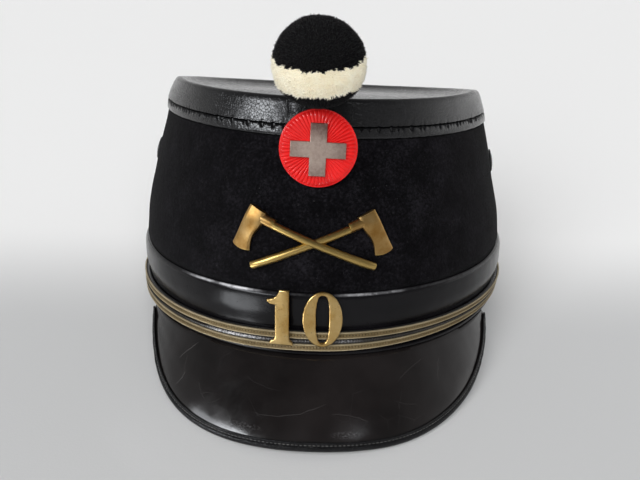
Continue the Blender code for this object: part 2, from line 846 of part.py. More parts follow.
def resting_tilt(points):
    """Angle by which the hat leans back when its peak and the back of its foot share the ground."""

    def lowest(angle, found):
        return min(point.z * math.cos(angle) - point.y * math.sin(angle) for point in found)

    front = [point for point in points if point.y < 0]
    back = [point for point in points if point.y > 0]
    low, high = 0.0, math.radians(20.0)
    for _ in range(40):
        angle = (low + high) / 2
        if lowest(angle, front) < lowest(angle, back):
            low = angle
        else:
            high = angle
    return low


def stand_on_ground(hat):
    """Tilts the hat back and puts the middle of its base at the origin."""
    bpy.context.view_layer.update()
    touching = []
    for name in ("peak_binding", "headband"):
        touching += [vert.co for vert in bpy.data.objects[name].data.vertices]
    hat.frame.rotation_euler.x = -resting_tilt(touching)
    bpy.context.view_layer.update()
    graph = bpy.context.evaluated_depsgraph_get()
    corners = []
    for child in hat.frame.children:
        shown = child.evaluated_get(graph)
        mesh = shown.to_mesh()
        corners += [shown.matrix_world @ vert.co for vert in mesh.vertices]
        shown.to_mesh_clear()
    low = Vector(min(corner[i] for corner in corners) for i in range(3))
    high = Vector(max(corner[i] for corner in corners) for i in range(3))
    hat.frame.location = (-(low.x + high.x) / 2, -(low.y + high.y) / 2, -low.z)
    bpy.context.view_layer.update()


def main():
    clear_scene()
    hat = Hat()
    make_felt_body(hat)
    make_crown(hat)
    make_headband(hat)
    make_strap(hat)
    make_braid(hat, "braid_upper", STRAP_HIGH - 0.1 - BRAID_WIDTH)
    make_braid(hat, "braid_lower", STRAP_LOW + 0.1)
    make_peak(hat)
    make_peak_binding(hat)
    make_cockade(hat)
    make_axes_badge(hat)
    make_numerals(hat)
    make_vents(hat)
    make_pompom(hat)
    make_pompom_stem(hat)
    make_pompom_socket(hat)
    stand_on_ground(hat)


main()
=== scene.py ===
"""Looks of the shako hat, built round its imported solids.

Lengths in the hat's own frame are in millimetres: z is 0 at the foot of the head opening, -Y is the
front, and +X is on the right of a viewer who faces the hat. HAT turns that frame into the world.
The texture coordinates named UVMap are in millimetres along and across a piece.
"""

import math

import bmesh
import bpy
import numpy as np
from mathutils import Matrix, Vector


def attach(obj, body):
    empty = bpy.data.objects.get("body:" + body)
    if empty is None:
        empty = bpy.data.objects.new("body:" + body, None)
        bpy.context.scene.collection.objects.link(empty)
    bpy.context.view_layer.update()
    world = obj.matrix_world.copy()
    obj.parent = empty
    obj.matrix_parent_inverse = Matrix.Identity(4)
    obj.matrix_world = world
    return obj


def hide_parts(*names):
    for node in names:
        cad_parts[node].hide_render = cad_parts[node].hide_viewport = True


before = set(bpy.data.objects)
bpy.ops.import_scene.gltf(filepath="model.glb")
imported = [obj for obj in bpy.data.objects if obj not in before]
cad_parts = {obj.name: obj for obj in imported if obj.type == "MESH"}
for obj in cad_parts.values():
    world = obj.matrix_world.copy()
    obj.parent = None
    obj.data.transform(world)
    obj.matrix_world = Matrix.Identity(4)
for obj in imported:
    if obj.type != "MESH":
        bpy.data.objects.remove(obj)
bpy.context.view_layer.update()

MM = 0.001
TURN = 2 * math.pi
BODY = "root"
DEPTH_TO_WIDTH = 1.2
HAT = Matrix.Translation((0.0, 0.013083, 0.014128)) @ Matrix.Rotation(math.radians(-7.53336), 4, "X")

# How the crown sits above the headband: its lean to one side, and its drop towards the back.
BAND_TOP = 26.5
FLANGE_LOW = 86.8
CROWN_LEAN = math.tan(math.radians(1.6))
CROWN_BACK_DROP = 11.6
CROWN_DROP_START = -33.0
CROWN_DROP_END = 88.0
CROWN_DROP_POWER = 1.16
CROWN_FOOT_HALF_WIDTH = 78.8
CROWN_TAPER = 1.5 / 8.4
HEADBAND_HALF_WIDTH = 90.0
FOOT_RISE = 2.0
# How far the sides are drawn in from a plain ellipse: height, at -X, at +X.
SIDES_DRAWN_IN = (
    (0.0, 0.6, 2.2), (10.6, 0.0, 0.5), (14.0, 0.0, 0.0), (42.0, 0.0, 0.3), (50.0, 0.4, 0.8),
    (58.0, 1.15, 1.35), (66.0, 1.55, 1.3), (74.0, 1.85, 0.8), (81.0, 2.0, 0.25), (88.0, 1.6, 0.0),
    (92.5, 1.3, 0.0), (95.5, 1.9, 0.5), (98.5, 3.0, 0.9), (100.0, 3.7, 1.4), (101.5, 4.0, 1.6),
)

# How many columns of points go round the hat.
HAT_COLUMNS = 480
CROWN_COLUMNS = 1050
FLANGE_COLUMNS = 1800
# Sections of the pieces that go round the hat, as (half width, height) rows.
FELT_FOOT = ((88.2, 2.0), (88.2, 14.0), (88.2, 26.2), (88.9, 27.6))
FELT_SLOPE = ((89.2, 28.8), (88.3, 40.0), (86.0, 55.0), (83.0, 70.0), (78.4, 86.2))
FELT_UNDER_CROWN = ((77.3, 86.5), (76.6, 89.0), (74.4, 97.9))
FELT_WALL = 3.0
HEADBAND_OUTSIDE = (
    (84.9, 0.0), (89.6, 0.0), (90.2, 0.2), (90.6, 0.7), (90.5, 1.4), (89.9, 1.9), (89.3, 2.3),
    (89.1, 2.8), (89.2, 12.0), (89.9, 17.0), (90.05, 21.5), (90.05, 23.6), (89.93, 24.6),
    (89.65, 25.4), (89.25, 26.0), (88.8, 26.4), (88.5, 26.3),
)
HEADBAND_INSIDE = ((88.5, 1.7), (84.9, 1.7))
# How far along that section the headband's upper edge lies.
HEADBAND_EDGE = 31.9
CROWN_OUTSIDE = (
    (10.0, 97.2), (40.0, 97.35), (55.0, 97.75), (63.0, 98.3), (67.5, 99.05), (70.2, 99.95),
    (72.0, 100.85), (73.6, 101.35), (74.9, 101.3), (75.8, 100.75), (76.35, 99.8), (76.75, 98.3),
    (77.15, 96.4), (77.6, 94.2), (78.0, 92.2), (78.15, 91.6),
)
CROWN_UNDERSIDE = (
    (77.9, 91.45), (76.5, 91.6), (75.8, 97.4), (74.6, 99.3), (71.5, 98.5), (66.0, 96.4), (10.0, 95.5),
)
FLANGE_OUTSIDE = (
    (77.3, 86.8), (78.3, 86.75), (78.7, 86.95), (78.85, 87.4), (78.75, 88.3), (78.6, 89.3),
    (78.45, 90.2), (78.3, 90.75), (77.9, 91.05), (76.8, 91.05),
)
FLANGE_INSIDE = ((76.8, 89.0), (77.3, 87.6))
STRAP_SECTION = (
    (89.55, 2.4), (90.4, 2.4), (90.7, 2.65), (90.75, 3.2), (90.75, 9.8), (90.7, 10.35),
    (90.4, 10.6), (89.55, 10.6),
)
# Tucks round the seam: how far it is round, how far apart they lie, and the seed of their draws.
CROWN_ROUND = 540.0
TUCK_SPACING = (1.2, 3.6)
TUCK_SEED = 7

# Chin strap, the two braids on it and the cord between them.
STRAP_TOP = 10.6
STRAP_WIDTH = 8.2
STRAP_NARROWING = 1.7
STRAP_SAG = 0.9
BRAID_HALF_WIDTH = 91.05
BRAID_LOWS = {"upper": 7.7, "lower": 2.5}
BRAID_WIDTH = 2.95
BRAID_PITCH = 0.66
BRAID_STEPS = 4
BRAID_PROFILE = (
    # share of the width, height over the strap, how much the thread twists there
    (0.0, 0.0, 0.0), (0.03, 0.42, 0.3), (0.09, 0.7, 1.0), (0.16, 0.66, 0.9), (0.22, 0.42, 0.1),
    (0.5, 0.46, 0.0), (0.78, 0.42, -0.1), (0.84, 0.66, -0.9), (0.91, 0.7, -1.0),
    (0.97, 0.42, -0.3), (1.0, 0.0, 0.0),
)
CORD_HEIGHT = 6.55
CORD_HALF_WIDTH = 91.1
CORD_RADIUS = 0.55
CORD_TWIST = 0.22
CORD_PITCH = 1.25
CORD_STEPS = 6
CORD_SIDES = 8

# Peak: a sheet that slopes down from the foot of the headband, and the binding on its free edge.
PEAK_ROOT_HALF_WIDTH = 90.3
PEAK_ROOT_HEIGHT = -0.3
PEAK_REACH = 37.3
PEAK_END = math.radians(60.75)
PEAK_CUT = math.radians(59.3)
PEAK_SHAPE = 3.0
PEAK_TAPER = 1.2
PEAK_SLOPE_FRONT = math.radians(48.0)
PEAK_SLOPE_SIDE = math.radians(68.0)
PEAK_SLOPE_POWER = 1.5
PEAK_BULGE = 1.8
PEAK_THICKNESS = 1.6
PEAK_TONGUE = (-4.2, -2.0, -0.5)
BINDING_DEPTH = 2.6
BINDING_ROLL = (
    # outward from the sheet's edge, up from its middle
    (1.1, 0.0), (1.05, 0.5), (0.85, 1.05), (0.45, 1.5), (-0.1, 1.72), (-0.65, 1.66), (-1.05, 1.42),
    (-1.3, 1.34), (-1.6, 1.42), (-2.05, 1.6), (-2.4, 1.55), (-2.6, 1.3), (-2.6, 1.1),
)
BINDING_INSIDE = ((0.3, 1.1),)
STITCHES = 150
STITCH_HALF_LENGTH = 0.68
STITCH_RADIUS = 0.2
STITCH_ROWS = (
    # share of the half length, share of the radius, lift
    (-1.0, 0.25, -0.14), (-0.75, 0.8, -0.03), (0.0, 1.0, 0.06), (0.75, 0.8, -0.03), (1.0, 0.25, -0.14),
)

# Ornaments on the front, and the vents at the sides.
COCKADE_X = -0.3
COCKADE_HEIGHT = 82.4
COCKADE_OUT = 4.2
COCKADE_TILT = math.radians(15.0)
COCKADE_TURN = math.radians(-0.4)
COCKADE_FLUTES = 56
COCKADE_PROFILE = (
    # radius, height of the crest, depth of the flutes
    (0.6, 2.5, 0.0), (4.4, 2.5, 0.1), (6.0, 2.5, 0.25), (9.0, 2.52, 0.34), (11.0, 2.48, 0.42),
    (13.0, 2.3, 0.5), (13.7, 2.1, 0.5), (14.15, 1.9, 0.46), (14.45, 1.66, 0.34), (14.65, 1.44, 0.16),
    (14.8, 1.34, 0.0), (15.0, 1.32, 0.0), (15.2, 1.2, 0.0), (15.3, 0.95, 0.0), (15.27, 0.5, 0.0),
    (15.0, 0.0, 0.0), (0.6, 0.0, 0.0),
)
CROSS_ARM = 10.8
CROSS_HALF_WIDTH = 3.25
CROSS_SQUASH = 0.95
CROSS_THICKNESS = 1.3
CROSS_BEVEL = 0.38
CROSS_ON_DISC = (0.0, -0.3, 2.8)
BADGE_X = -2.1
BADGE_HEIGHT = 47.5
BADGE_OUT = 0.4
# Each axe: on which side its head is, how far its haft is lifted, and where the haft ends.
AXES = ((1, 0.8, (24.3, -9.9)), (-1, 0.15, (23.4, -11.1)))
# Rods: radius, rounding of the ends, pieces along and sides.
AXE_HAFT = (1.6, 0.25, 16, 20)
AXE_COLLAR = (1.95, 0.2, 4, 24)
NUMERAL_POST = (0.9, 0.1, 2, 16)
AXE_POLL_THICKNESS = 4.1
AXE_BIT_THICKNESS = 1.4
AXE_BELLY = (-0.495, -0.765)
AXE_CELLS = 12
AXE_INNER_EDGE = ((-17.6, 9.4), (-18.7, 6.6), (-20.5, 4.0), (-22.8, 1.2), (-24.3, -1.9), (-24.9, -5.7))
AXE_OUTER_EDGE = ((-23.4, 12.5), (-25.0, 9.4), (-26.7, 6.2), (-28.4, 3.1), (-30.1, 0.1), (-31.9, -3.2))
NUMERAL_HEIGHT = 17.0
NUMERAL_OUT = 2.3
NUMERAL_THICKNESS = 1.6
NUMERAL_BEVEL = 0.62
NOUGHT_X = 2.6
# Outer and inner edge: half width, half height, shape.
NOUGHT_EDGES = ((8.0, 11.8, 2.0), (2.65, 10.1, 2.8))
ONE_X = -13.3
ONE_MIDDLE = 11.75
ONE_RUNS = (
    # runs of points from corner to corner, across from the stem's middle and up from the foot
    ((-4.9, 0.0), (4.7, 0.0)),
    ((4.7, 0.0), (4.75, 0.9), (4.5, 1.5), (3.85, 2.0), (3.4, 2.7), (3.25, 3.8)),
    ((3.25, 3.8), (3.25, 23.5)),
    ((3.25, 23.5), (-0.75, 23.5)),
    ((-0.75, 23.5), (-1.25, 22.1), (-2.35, 20.6), (-3.9, 19.7), (-5.7, 19.35)),
    ((-5.7, 19.35), (-5.95, 18.65), (-5.5, 17.95)),
    ((-5.5, 17.95), (-4.4, 17.25), (-3.3, 17.1), (-2.6, 17.0)),
    ((-2.6, 17.0), (-2.6, 3.8)),
    ((-2.6, 3.8), (-2.8, 2.7), (-3.4, 2.1), (-4.3, 1.6), (-4.9, 0.9)),
)
VENT_ANGLE = math.radians(83.0)
VENT_HEIGHT = 66.0
VENT_RADIUS = 5.5
VENT_PROFILE = (
    # radius, height above the wall
    (0.35, 1.2), (1.6, 1.16), (3.0, 1.02), (4.0, 0.78), (4.4, 0.62), (4.7, 0.66), (5.1, 0.6),
    (5.4, 0.38), (5.5, 0.15), (5.45, 0.0), (0.35, 0.0),
)

POMPOM_RADIUS = 17.5
POMPOM_CENTRE = Vector((-0.4, -104.0, 116.1))
POMPOM_STRIPE = (-7.7, 3.5)
POMPOM_STRIPE_TILT = math.radians(17.5)
POMPOM_STRIPE_ROLL = math.radians(1.2)
POMPOM_TUFTS = 30000
GOLDEN_SHARE = 0.6180339887
# Corners of a tuft's triangles: three points at its root, three at its waist, and its tip.
TUFT_SIDES = ((0, 1, 4), (0, 4, 3), (1, 2, 5), (1, 5, 4), (2, 0, 3), (2, 3, 5))
TUFT_FACES = (*TUFT_SIDES, (3, 4, 6), (4, 5, 6), (5, 3, 6))
# Waves in the stripe's edges: how many go round, size, phase.
POMPOM_STRIPE_WAVES = ((2, 0.25, 0.4), (7, 0.3, 1.9), (16, 0.3, 0.8), (29, 0.3, 2.7), (53, 0.25, 1.1))
WIRE_RADIUS = 0.6
WIRE_OUT = 0.95
LOOP_LOW = 87.0
LOOP_TALL = 13.2
LOOP_HALF_WIDTH = 12.5
LOOP_GAP = 0.3
LOOP_THICKNESS = 0.9

# Stage, in metres.
FLOOR_HALF_SIZE = 14.0
BACKDROP = (0.86, 0.86, 0.86)
WINDOWS = (
    # name, place, target, size, power
    ("window", (-0.84, -0.74, 0.5), (0.0, 0.0, 0.06), (0.6, 0.22), 7.2),
    ("far_window", (0.421, -0.73, 0.767), (0.0, 0.0, 0.06), (0.16, 0.12), 0.2),
    ("low_window", (-0.086, -0.127, 0.02), (-0.029, -0.086, 0.046), (0.052, 0.03), 0.03),
)
DAYLIGHT_POWER = 4.2
DAYLIGHT_SPREAD = math.radians(60.0)
DAYLIGHT_DIRECTION = (0.14, 0.85, -0.51)
CAMERA_LENS = 45.0
CAMERA_PLACE = (0.00894, -0.37149, 0.2060)
CAMERA_TURN = tuple(math.radians(turn) for turn in (65.578, -0.623, 1.859))


# ---------------------------------------------------------------- the hat's surface


def between(value, low, high):
    """How far a value lies from low (0) to high (1)."""
    return np.clip((value - low) / (high - low), 0.0, 1.0)


def eased(value, low, high):
    """The same, with a soft start and end."""
    share = between(value, low, high)
    return share**2 * (3.0 - 2.0 * share)


def unit(vectors):
    return vectors / np.linalg.norm(vectors, axis=-1, keepdims=True)


def lean(x, y, z):
    """Settles a plain ellipse: a leaning crown, sides drawn in, and a foot that rises at +X."""
    heights, left, right = zip(*SIDES_DRAWN_IN)
    drawn_in = np.where(x < 0, np.interp(z, heights, left), np.interp(z, heights, right))
    x = x - np.sign(x) * drawn_in * (x / 85.0) ** 2
    z = z + FOOT_RISE * np.clip(x / 88.0, 0.0, 1.0) ** 3 * np.clip(1.0 - z / 12.0, 0.0, 1.0)
    behind = np.maximum(y - CROWN_DROP_START, 0.0) / (CROWN_DROP_END - CROWN_DROP_START)
    drop = CROWN_LEAN * x + CROWN_BACK_DROP * behind**CROWN_DROP_POWER
    return np.stack(np.broadcast_arrays(x, y, z - between(z, BAND_TOP, FLANGE_LOW) * drop), -1)


def ring(angle, half_width, height, out=0.0):
    """Points on elliptical rings, moved out by a thickness. Angle 0 is the front."""
    x = (half_width + out) * np.sin(angle)
    y = -(half_width * DEPTH_TO_WIDTH + out) * np.cos(angle)
    return lean(x, y, height)


def felt_half_width(height):
    """Half width of the felt's slope at a height; the next two are the crown's and the headband's."""
    widths, heights = zip(*FELT_SLOPE)
    return np.interp(height, heights, widths)


def crown_half_width(height):
    return CROWN_FOOT_HALF_WIDTH - (height - FLANGE_LOW) * CROWN_TAPER


def headband_half_width(height):
    return HEADBAND_HALF_WIDTH + 0.0 * height


def wall(half_width_at, angle, height, out):
    """Points at a distance out from a wall, along the wall's normal."""
    a = half_width_at(height)
    b = a * DEPTH_TO_WIDTH
    rise = (half_width_at(height + 0.5) - half_width_at(height - 0.5)) / a
    x, y = a * np.sin(angle), -b * np.cos(angle)
    normal = unit(np.stack(np.broadcast_arrays(x / a**2, y / b**2, -rise), -1))
    points = np.stack(np.broadcast_arrays(x, y, height), -1) + normal * np.asarray(out)[..., None]
    return lean(points[..., 0], points[..., 1], points[..., 2])


def angle_at(half_width_at, x, height):
    """Angle at which a wall is a distance x across from its middle."""
    return np.arcsin(x / half_width_at(height))


def wall_frame(half_width_at, angle, height, out):
    """Matrix in millimetres: its X runs along the wall, its Y up it, and its Z points out."""
    spots = ((angle, height), (angle + 0.01, height), (angle, height + 1.0))
    origin, across, up = (Vector(wall(half_width_at, a, h, out)) for a, h in spots)
    across = (across - origin).normalized()
    outward = across.cross(up - origin).normalized()
    matrix = Matrix((across, outward.cross(across), outward)).transposed().to_4x4()
    matrix.translation = origin
    return matrix


def even_angles(half_width, count):
    """Angles that part an elliptical ring into equal lengths, and that length."""
    fine = np.linspace(0.0, TURN, 20001)
    speed = np.hypot(half_width * np.cos(fine), half_width * DEPTH_TO_WIDTH * np.sin(fine))
    travelled = np.concatenate(([0.0], np.cumsum((speed[1:] + speed[:-1]) / 2) * (fine[1] - fine[0])))
    wanted = travelled[-1] * np.arange(count) / count
    return np.interp(wanted, travelled, fine), travelled[-1]


# ---------------------------------------------------------------- ways of making a mesh


def smooth_path(points, steps):
    """Curve through points, steps to a stretch, that keeps to short stretches at close points."""
    points = np.asarray(points, float)
    before = np.concatenate((points[:1], points[:-1]))
    after = np.concatenate((points[1:], points[-1:]))
    spans = np.linalg.norm(after - points, axis=1) + np.linalg.norm(points - before, axis=1)
    slopes = (after - before) / np.maximum(spans, 1e-9)[:, None]
    t = (np.arange(steps) / steps)[:, None]
    found = []
    for i in range(len(points) - 1):
        length = np.linalg.norm(points[i + 1] - points[i])
        found.append(
            (2 * t**3 - 3 * t**2 + 1) * points[i]
            + (t**3 - 2 * t**2 + t) * (slopes[i] * length)
            + (3 * t**2 - 2 * t**3) * points[i + 1]
            + (t**3 - t**2) * (slopes[i + 1] * length)
        )
    return np.concatenate(found + [points[-1:]])


def mesh_from(name, points, faces, coords):
    """Mesh of points in hat millimetres. Faces are a list of arrays with a row of corners each."""
    mesh = bpy.data.meshes.new(name)
    world = points.reshape(-1, 3) * MM @ np.array(HAT.to_3x3()).T + np.array(HAT.translation)
    corners = np.concatenate([group.ravel() for group in faces]).astype(np.int32)
    sizes = np.concatenate([np.full(len(group), group.shape[1]) for group in faces])
    starts = np.concatenate(([0], np.cumsum(sizes)[:-1])).astype(np.int32)
    mesh.vertices.add(len(world))
    mesh.vertices.foreach_set("co", world.astype(np.float32).ravel())
    mesh.loops.add(len(corners))
    mesh.loops.foreach_set("vertex_index", corners)
    mesh.polygons.add(len(sizes))
    mesh.polygons.foreach_set("loop_start", starts)
    layer = mesh.uv_layers.new(name="UVMap")
    layer.data.foreach_set("uv", coords.astype(np.float32).ravel())
    mesh.update(calc_edges=True)
    mesh.validate()
    return mesh


def quads(rows, columns, closed, around):
    """Row and column of each quad's four corners in a grid of points."""
    counts = (rows if closed else rows - 1, columns if around else columns - 1)
    row, column = (index.reshape(-1, 1) for index in np.indices(counts))
    return row + np.array([[0, 0, 1, 1]]), column + np.array([[0, 1, 1, 0]])


def volume_sign(points, faces):
    """Above 0 if closed quads face outward, below 0 if they face inward."""
    a, b, c, d = (points[faces[:, i]] for i in range(4))
    return np.sum(np.cross(a, b) * c) + np.sum(np.cross(a, c) * d)


def grid_mesh(name, points, across, along, closed=False, around=False, caps=None):
    """Mesh through rows of points. Rows may close on themselves, and so may columns.

    across and along are texture coordinates in millimetres of the rows and of the columns, with one
    more than the points where they close. Caps is "pole" to close the first and last row at their
    middles, or "strip" to close the first and last column of a closed section by a strip of quads.
    """
    rows, columns = points.shape[:2]
    row, column = quads(rows, columns, closed, around)
    faces = (row % rows) * columns + column % columns
    flat = points.reshape(-1, 3)
    uv = np.stack((np.asarray(along)[column], np.asarray(across)[row]), -1)
    groups, coords = [faces], [uv]
    if caps == "pole":
        for edge, turn in ((0, 1), (rows - 1, -1)):
            here = edge * columns + np.arange(columns)
            fan = np.stack((np.full(columns, len(flat)), np.roll(here, -1), here), 1)[:, ::turn]
            flat = np.concatenate((flat, points[edge].mean(0, keepdims=True)))
            groups.append(fan)
            coords.append(flat[fan][..., :2])
    if caps == "strip":
        half = np.arange(rows // 2 - 1)
        for edge, turn in ((0, 1), (columns - 1, -1)):
            strip = np.stack((half, half + 1, rows - 2 - half, rows - 1 - half), 1)[:, ::turn]
            groups.append(strip * columns + edge)
            coords.append(flat[groups[-1]][..., 1:])
    if (closed or around) and volume_sign(flat, faces) < 0:
        groups = [group[:, ::-1] for group in groups]
        coords = [part[:, ::-1] for part in coords]
    return mesh_from(name, flat, groups, np.concatenate([part.reshape(-1, 2) for part in coords]))


def section_lengths(points, closed):
    """How far along a section each of its points lies."""
    steps = np.linalg.norm(np.diff(points, axis=0, append=points[:1]), axis=1)
    travelled = np.concatenate(([0.0], np.cumsum(steps)))
    return travelled if closed else travelled[:-1]


def turned_mesh(name, points, across, length, closed=True):
    """Mesh through rows that go round; if the section is open, its ends are closed at their middles."""
    count = points.shape[1]
    along = np.arange(count + 1) * length / count
    return grid_mesh(name, points, across, along, closed, True, None if closed else "pole")


def laid_round(section, widest, columns):
    """Angles of columns laid evenly round the hat, the way round, and the section's widths and heights."""
    return *even_angles(widest, columns), section[:, :1], section[:, 1:]


def ripple(angle, height, seed, waves, lowest, highest):
    """Smooth unevenness round the hat, between -1 and 1."""
    draw = np.random.default_rng(seed)
    total = 0.0
    for _ in range(waves):
        turns = draw.integers(lowest, highest)
        climb = draw.uniform(-1.0, 1.0) * turns / 90.0
        total = total + np.sin(turns * angle + climb * height + draw.uniform(0.0, TURN))
    return total / waves


def add_to_scene(name, data):
    made = bpy.data.objects.new(name, data)
    bpy.context.scene.collection.objects.link(made)
    return made


def add_piece(name, mesh, material, replaced=None, sharp_degrees=40.0):
    """Adds a finished mesh as a piece that rides on the hat and may replace one of its solids."""
    mesh.materials.append(material)
    mesh.shade_smooth()
    mesh.set_sharp_from_angle(angle=math.radians(sharp_degrees))
    made = add_to_scene(name, mesh)
    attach(made, BODY)
    if replaced:
        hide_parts(replaced)


def plate(outlines, thickness, bevel, steps):
    """A flat plate on z 0 with rounded edges; inner outlines are holes."""
    curve = bpy.data.curves.new("outline", "CURVE")
    curve.dimensions = "2D"
    curve.fill_mode = "BOTH"
    curve.bevel_depth = bevel
    curve.bevel_resolution = steps
    curve.offset = -bevel
    curve.extrude = thickness / 2 - bevel
    for outline in outlines:
        spline = curve.splines.new("POLY")
        spline.points.add(len(outline) - 1)
        spline.use_cyclic_u = True
        for point, (across, up) in zip(spline.points, outline):
            point.co = (across, up, 0.0, 1.0)
    drawn = add_to_scene("outline", curve)
    bpy.context.view_layer.update()
    shown = drawn.evaluated_get(bpy.context.evaluated_depsgraph_get())
    bm = bmesh.new()
    bm.from_mesh(bpy.data.meshes.new_from_object(shown))
    bpy.data.objects.remove(drawn, do_unlink=True)
    bmesh.ops.remove_doubles(bm, verts=bm.verts, dist=0.0001)
    bmesh.ops.translate(bm, vec=(0.0, 0.0, thickness / 2), verts=bm.verts)
    return bm


def placed(name, bm, place):
    """Mesh of a bmesh drawn in millimetres, placed by a matrix or by a function of its points."""
    bmesh.ops.recalc_face_normals(bm, faces=bm.faces)
    layer = bm.loops.layers.uv.verify()
    for face in bm.faces:
        for loop in face.loops:
            loop[layer].uv = loop.vert.co.xy
    if isinstance(place, Matrix):
        bm.transform(place)
    else:
        for vert, moved in zip(bm.verts, place(np.array([vert.co for vert in bm.verts]))):
            vert.co = moved
    bmesh.ops.scale(bm, vec=(MM, MM, MM), verts=bm.verts)
    bm.transform(HAT)
    mesh = bpy.data.meshes.new(name)
    bm.to_mesh(mesh)
    bm.free()
    return mesh


def lofted(bm, sections):
    """Adds a closed loft through like loops of points to a bmesh."""
    loops = [[bm.verts.new(point) for point in section] for section in sections]
    count = len(loops[0])
    for first, second in zip(loops, loops[1:]):
        for i in range(count):
            j = (i + 1) % count
            bm.faces.new((first[i], first[j], second[j], second[i]))
    bm.faces.new(reversed(loops[0]))
    bm.faces.new(loops[-1])


def circle(middle, first, second, radius, sides):
    """Points round a middle, in the plane of two directions."""
    turns = [TURN * i / sides for i in range(sides)]
    return [middle + (first * math.cos(turn) + second * math.sin(turn)) * radius for turn in turns]


def rounded_rod(bm, start, end, radius, edge, pieces, sides):
    """Adds a rod with rounded ends, cut in pieces so that it can follow a curve."""
    start, end = Vector(start), Vector(end)
    axis = (end - start).normalized()
    first = axis.orthogonal().normalized()
    second = axis.cross(first)
    ends = [(0.0, 0.0, radius - edge), (0.0, edge * 0.3, radius - edge * 0.3), (0.0, edge, radius)]
    profile = ends + [(i / pieces, 0.0, radius) for i in range(1, pieces)]
    profile += [(1.0, -past, narrower) for _, past, narrower in reversed(ends)]
    sections = []
    for share, past, wide in profile:
        sections.append(circle(start.lerp(end, share) + axis * past, first, second, wide, sides))
    lofted(bm, sections)


# ---------------------------------------------------------------- materials


class Nodes:
    """A node tree and short ways of adding to it. A value is a node's output or plain numbers."""

    def __init__(self, owner):
        owner.use_nodes = True
        self.tree = owner.node_tree

    def put(self, socket, value):
        if isinstance(value, bpy.types.NodeSocket):
            self.tree.links.new(value, socket)
        else:
            socket.default_value = (*value, 1.0) if socket.type == "RGBA" else value

    def node(self, kind, inputs=(), **settings):
        made = self.tree.nodes.new("ShaderNode" + kind)
        for name, value in settings.items():
            setattr(made, name, value)
        for socket, value in dict(inputs).items():
            self.put(made.inputs[socket], value)
        return made

    def maths(self, operation, first, second=0.0):
        return self.node("Math", {0: first, 1: second}, operation=operation).outputs["Value"]

    def times(self, first, second):
        return self.maths("MULTIPLY", first, second)

    def plus(self, first, second):
        return self.maths("ADD", first, second)

    def away(self, value, middle):
        """How far a value lies from a middle, on either side."""
        return self.maths("ABSOLUTE", self.maths("SUBTRACT", value, middle))

    def spread(self, value, low, high, to_low=0.0, to_high=1.0, smooth=False):
        """The value's range from low to high, stretched to another range and held inside it."""
        inputs = {"Value": value, "From Min": low, "From Max": high, "To Min": to_low, "To Max": to_high}
        course = "SMOOTHSTEP" if smooth else "LINEAR"
        return self.node("MapRange", inputs, interpolation_type=course).outputs["Result"]

    def fading(self, value, low, high, smooth=False):
        """1 up to low, 0 from high on."""
        return self.spread(value, low, high, 1.0, 0.0, smooth)

    def varied(self, noise, to_low, to_high):
        """Noise stretched so that most of it fills a range."""
        return self.spread(noise, 0.3, 0.7, to_low, to_high)

    def apart(self, coords):
        """X, Y and Z of texture coordinates."""
        return self.node("SeparateXYZ", {"Vector": coords}).outputs

    def length(self, vector):
        return self.node("VectorMath", {0: vector}, operation="LENGTH").outputs["Value"]

    def colours(self, value, *stops):
        """Colour ramp of (place, colour) stops."""
        made = self.node("ValToRGB", {"Fac": value})
        elements = made.color_ramp.elements
        while len(elements) < len(stops):
            elements.new(1.0)
        for element, (place, colour) in zip(elements, stops):
            element.position = place
            element.color = (*colour, 1.0)
        return made.outputs["Color"]

    def greys(self, value, stops):
        """Ramp of (place, grey) stops."""
        return self.colours(value, *((place, (grey, grey, grey)) for place, grey in stops))

    def mixed(self, share, first, second, blend="MIX"):
        """Mix of two colours."""
        inputs = {0: share, 6: first, 7: second}
        return self.node("Mix", inputs, data_type="RGBA", blend_type=blend).outputs[2]


class Look(Nodes):
    """A Principled material and its textures, measured in millimetres."""

    def __init__(self, name, colour, roughness, metallic=0.0, **sockets):
        self.material = bpy.data.materials.new(name)
        super().__init__(self.material)
        self.shader = self.tree.nodes["Principled BSDF"]
        self.shade(Base_Color=colour, Roughness=roughness, Metallic=metallic, **sockets)
        source = self.node("TexCoord")
        self.uv = source.outputs["UV"]
        self.here = self.stretched(source.outputs["Object"], (1000.0, 1000.0, 1000.0))

    def shade(self, **values):
        """Gives the shader's sockets their values and returns the material."""
        for name, value in values.items():
            self.put(self.shader.inputs[name.replace("_", " ")], value)
        return self.material

    def stretched(self, coords, scale=(1.0, 1.0, 1.0), shift=(0.0, 0.0, 0.0), turn=0.0):
        """Texture coordinates scaled, shifted and turned about Z."""
        inputs = {"Vector": coords, "Scale": scale, "Location": shift, "Rotation": (0.0, 0.0, turn)}
        return self.node("Mapping", inputs).outputs["Vector"]

    def noise(self, scale, detail=2.0, roughness=0.5, coords=None, distortion=0.0):
        """Noise whose scale is in waves per millimetre."""
        inputs = {"Vector": coords or self.here, "Scale": scale, "Detail": detail}
        inputs |= {"Roughness": roughness, "Distortion": distortion}
        return self.node("TexNoise", inputs).outputs["Fac"]

    def cells(self, scale, feature="DISTANCE_TO_EDGE", coords=None):
        inputs = {"Vector": coords or self.here, "Scale": scale}
        return self.node("TexVoronoi", inputs, feature=feature).outputs["Distance"]

    def waves(self, scale, coords, distortion=0.0):
        inputs = {"Vector": coords, "Scale": scale, "Distortion": distortion}
        return self.node("TexWave", inputs).outputs["Fac"]

    def rightward(self):
        """0 at the hat's left side, 1 at its right."""
        return self.spread(self.apart(self.here)["X"], -90.0, 90.0)

    def relief(self, *layers):
        """Bumps one on top of another, each a height and its depth in millimetres."""
        below_it = {}
        for height, depth in layers:
            made = self.node("Bump", {"Height": height, "Distance": depth * MM, **below_it})
            below_it = {"Normal": made.outputs["Normal"]}
        return made.outputs["Normal"]


def shade_of(colour, amount):
    return tuple(amount * part for part in colour)


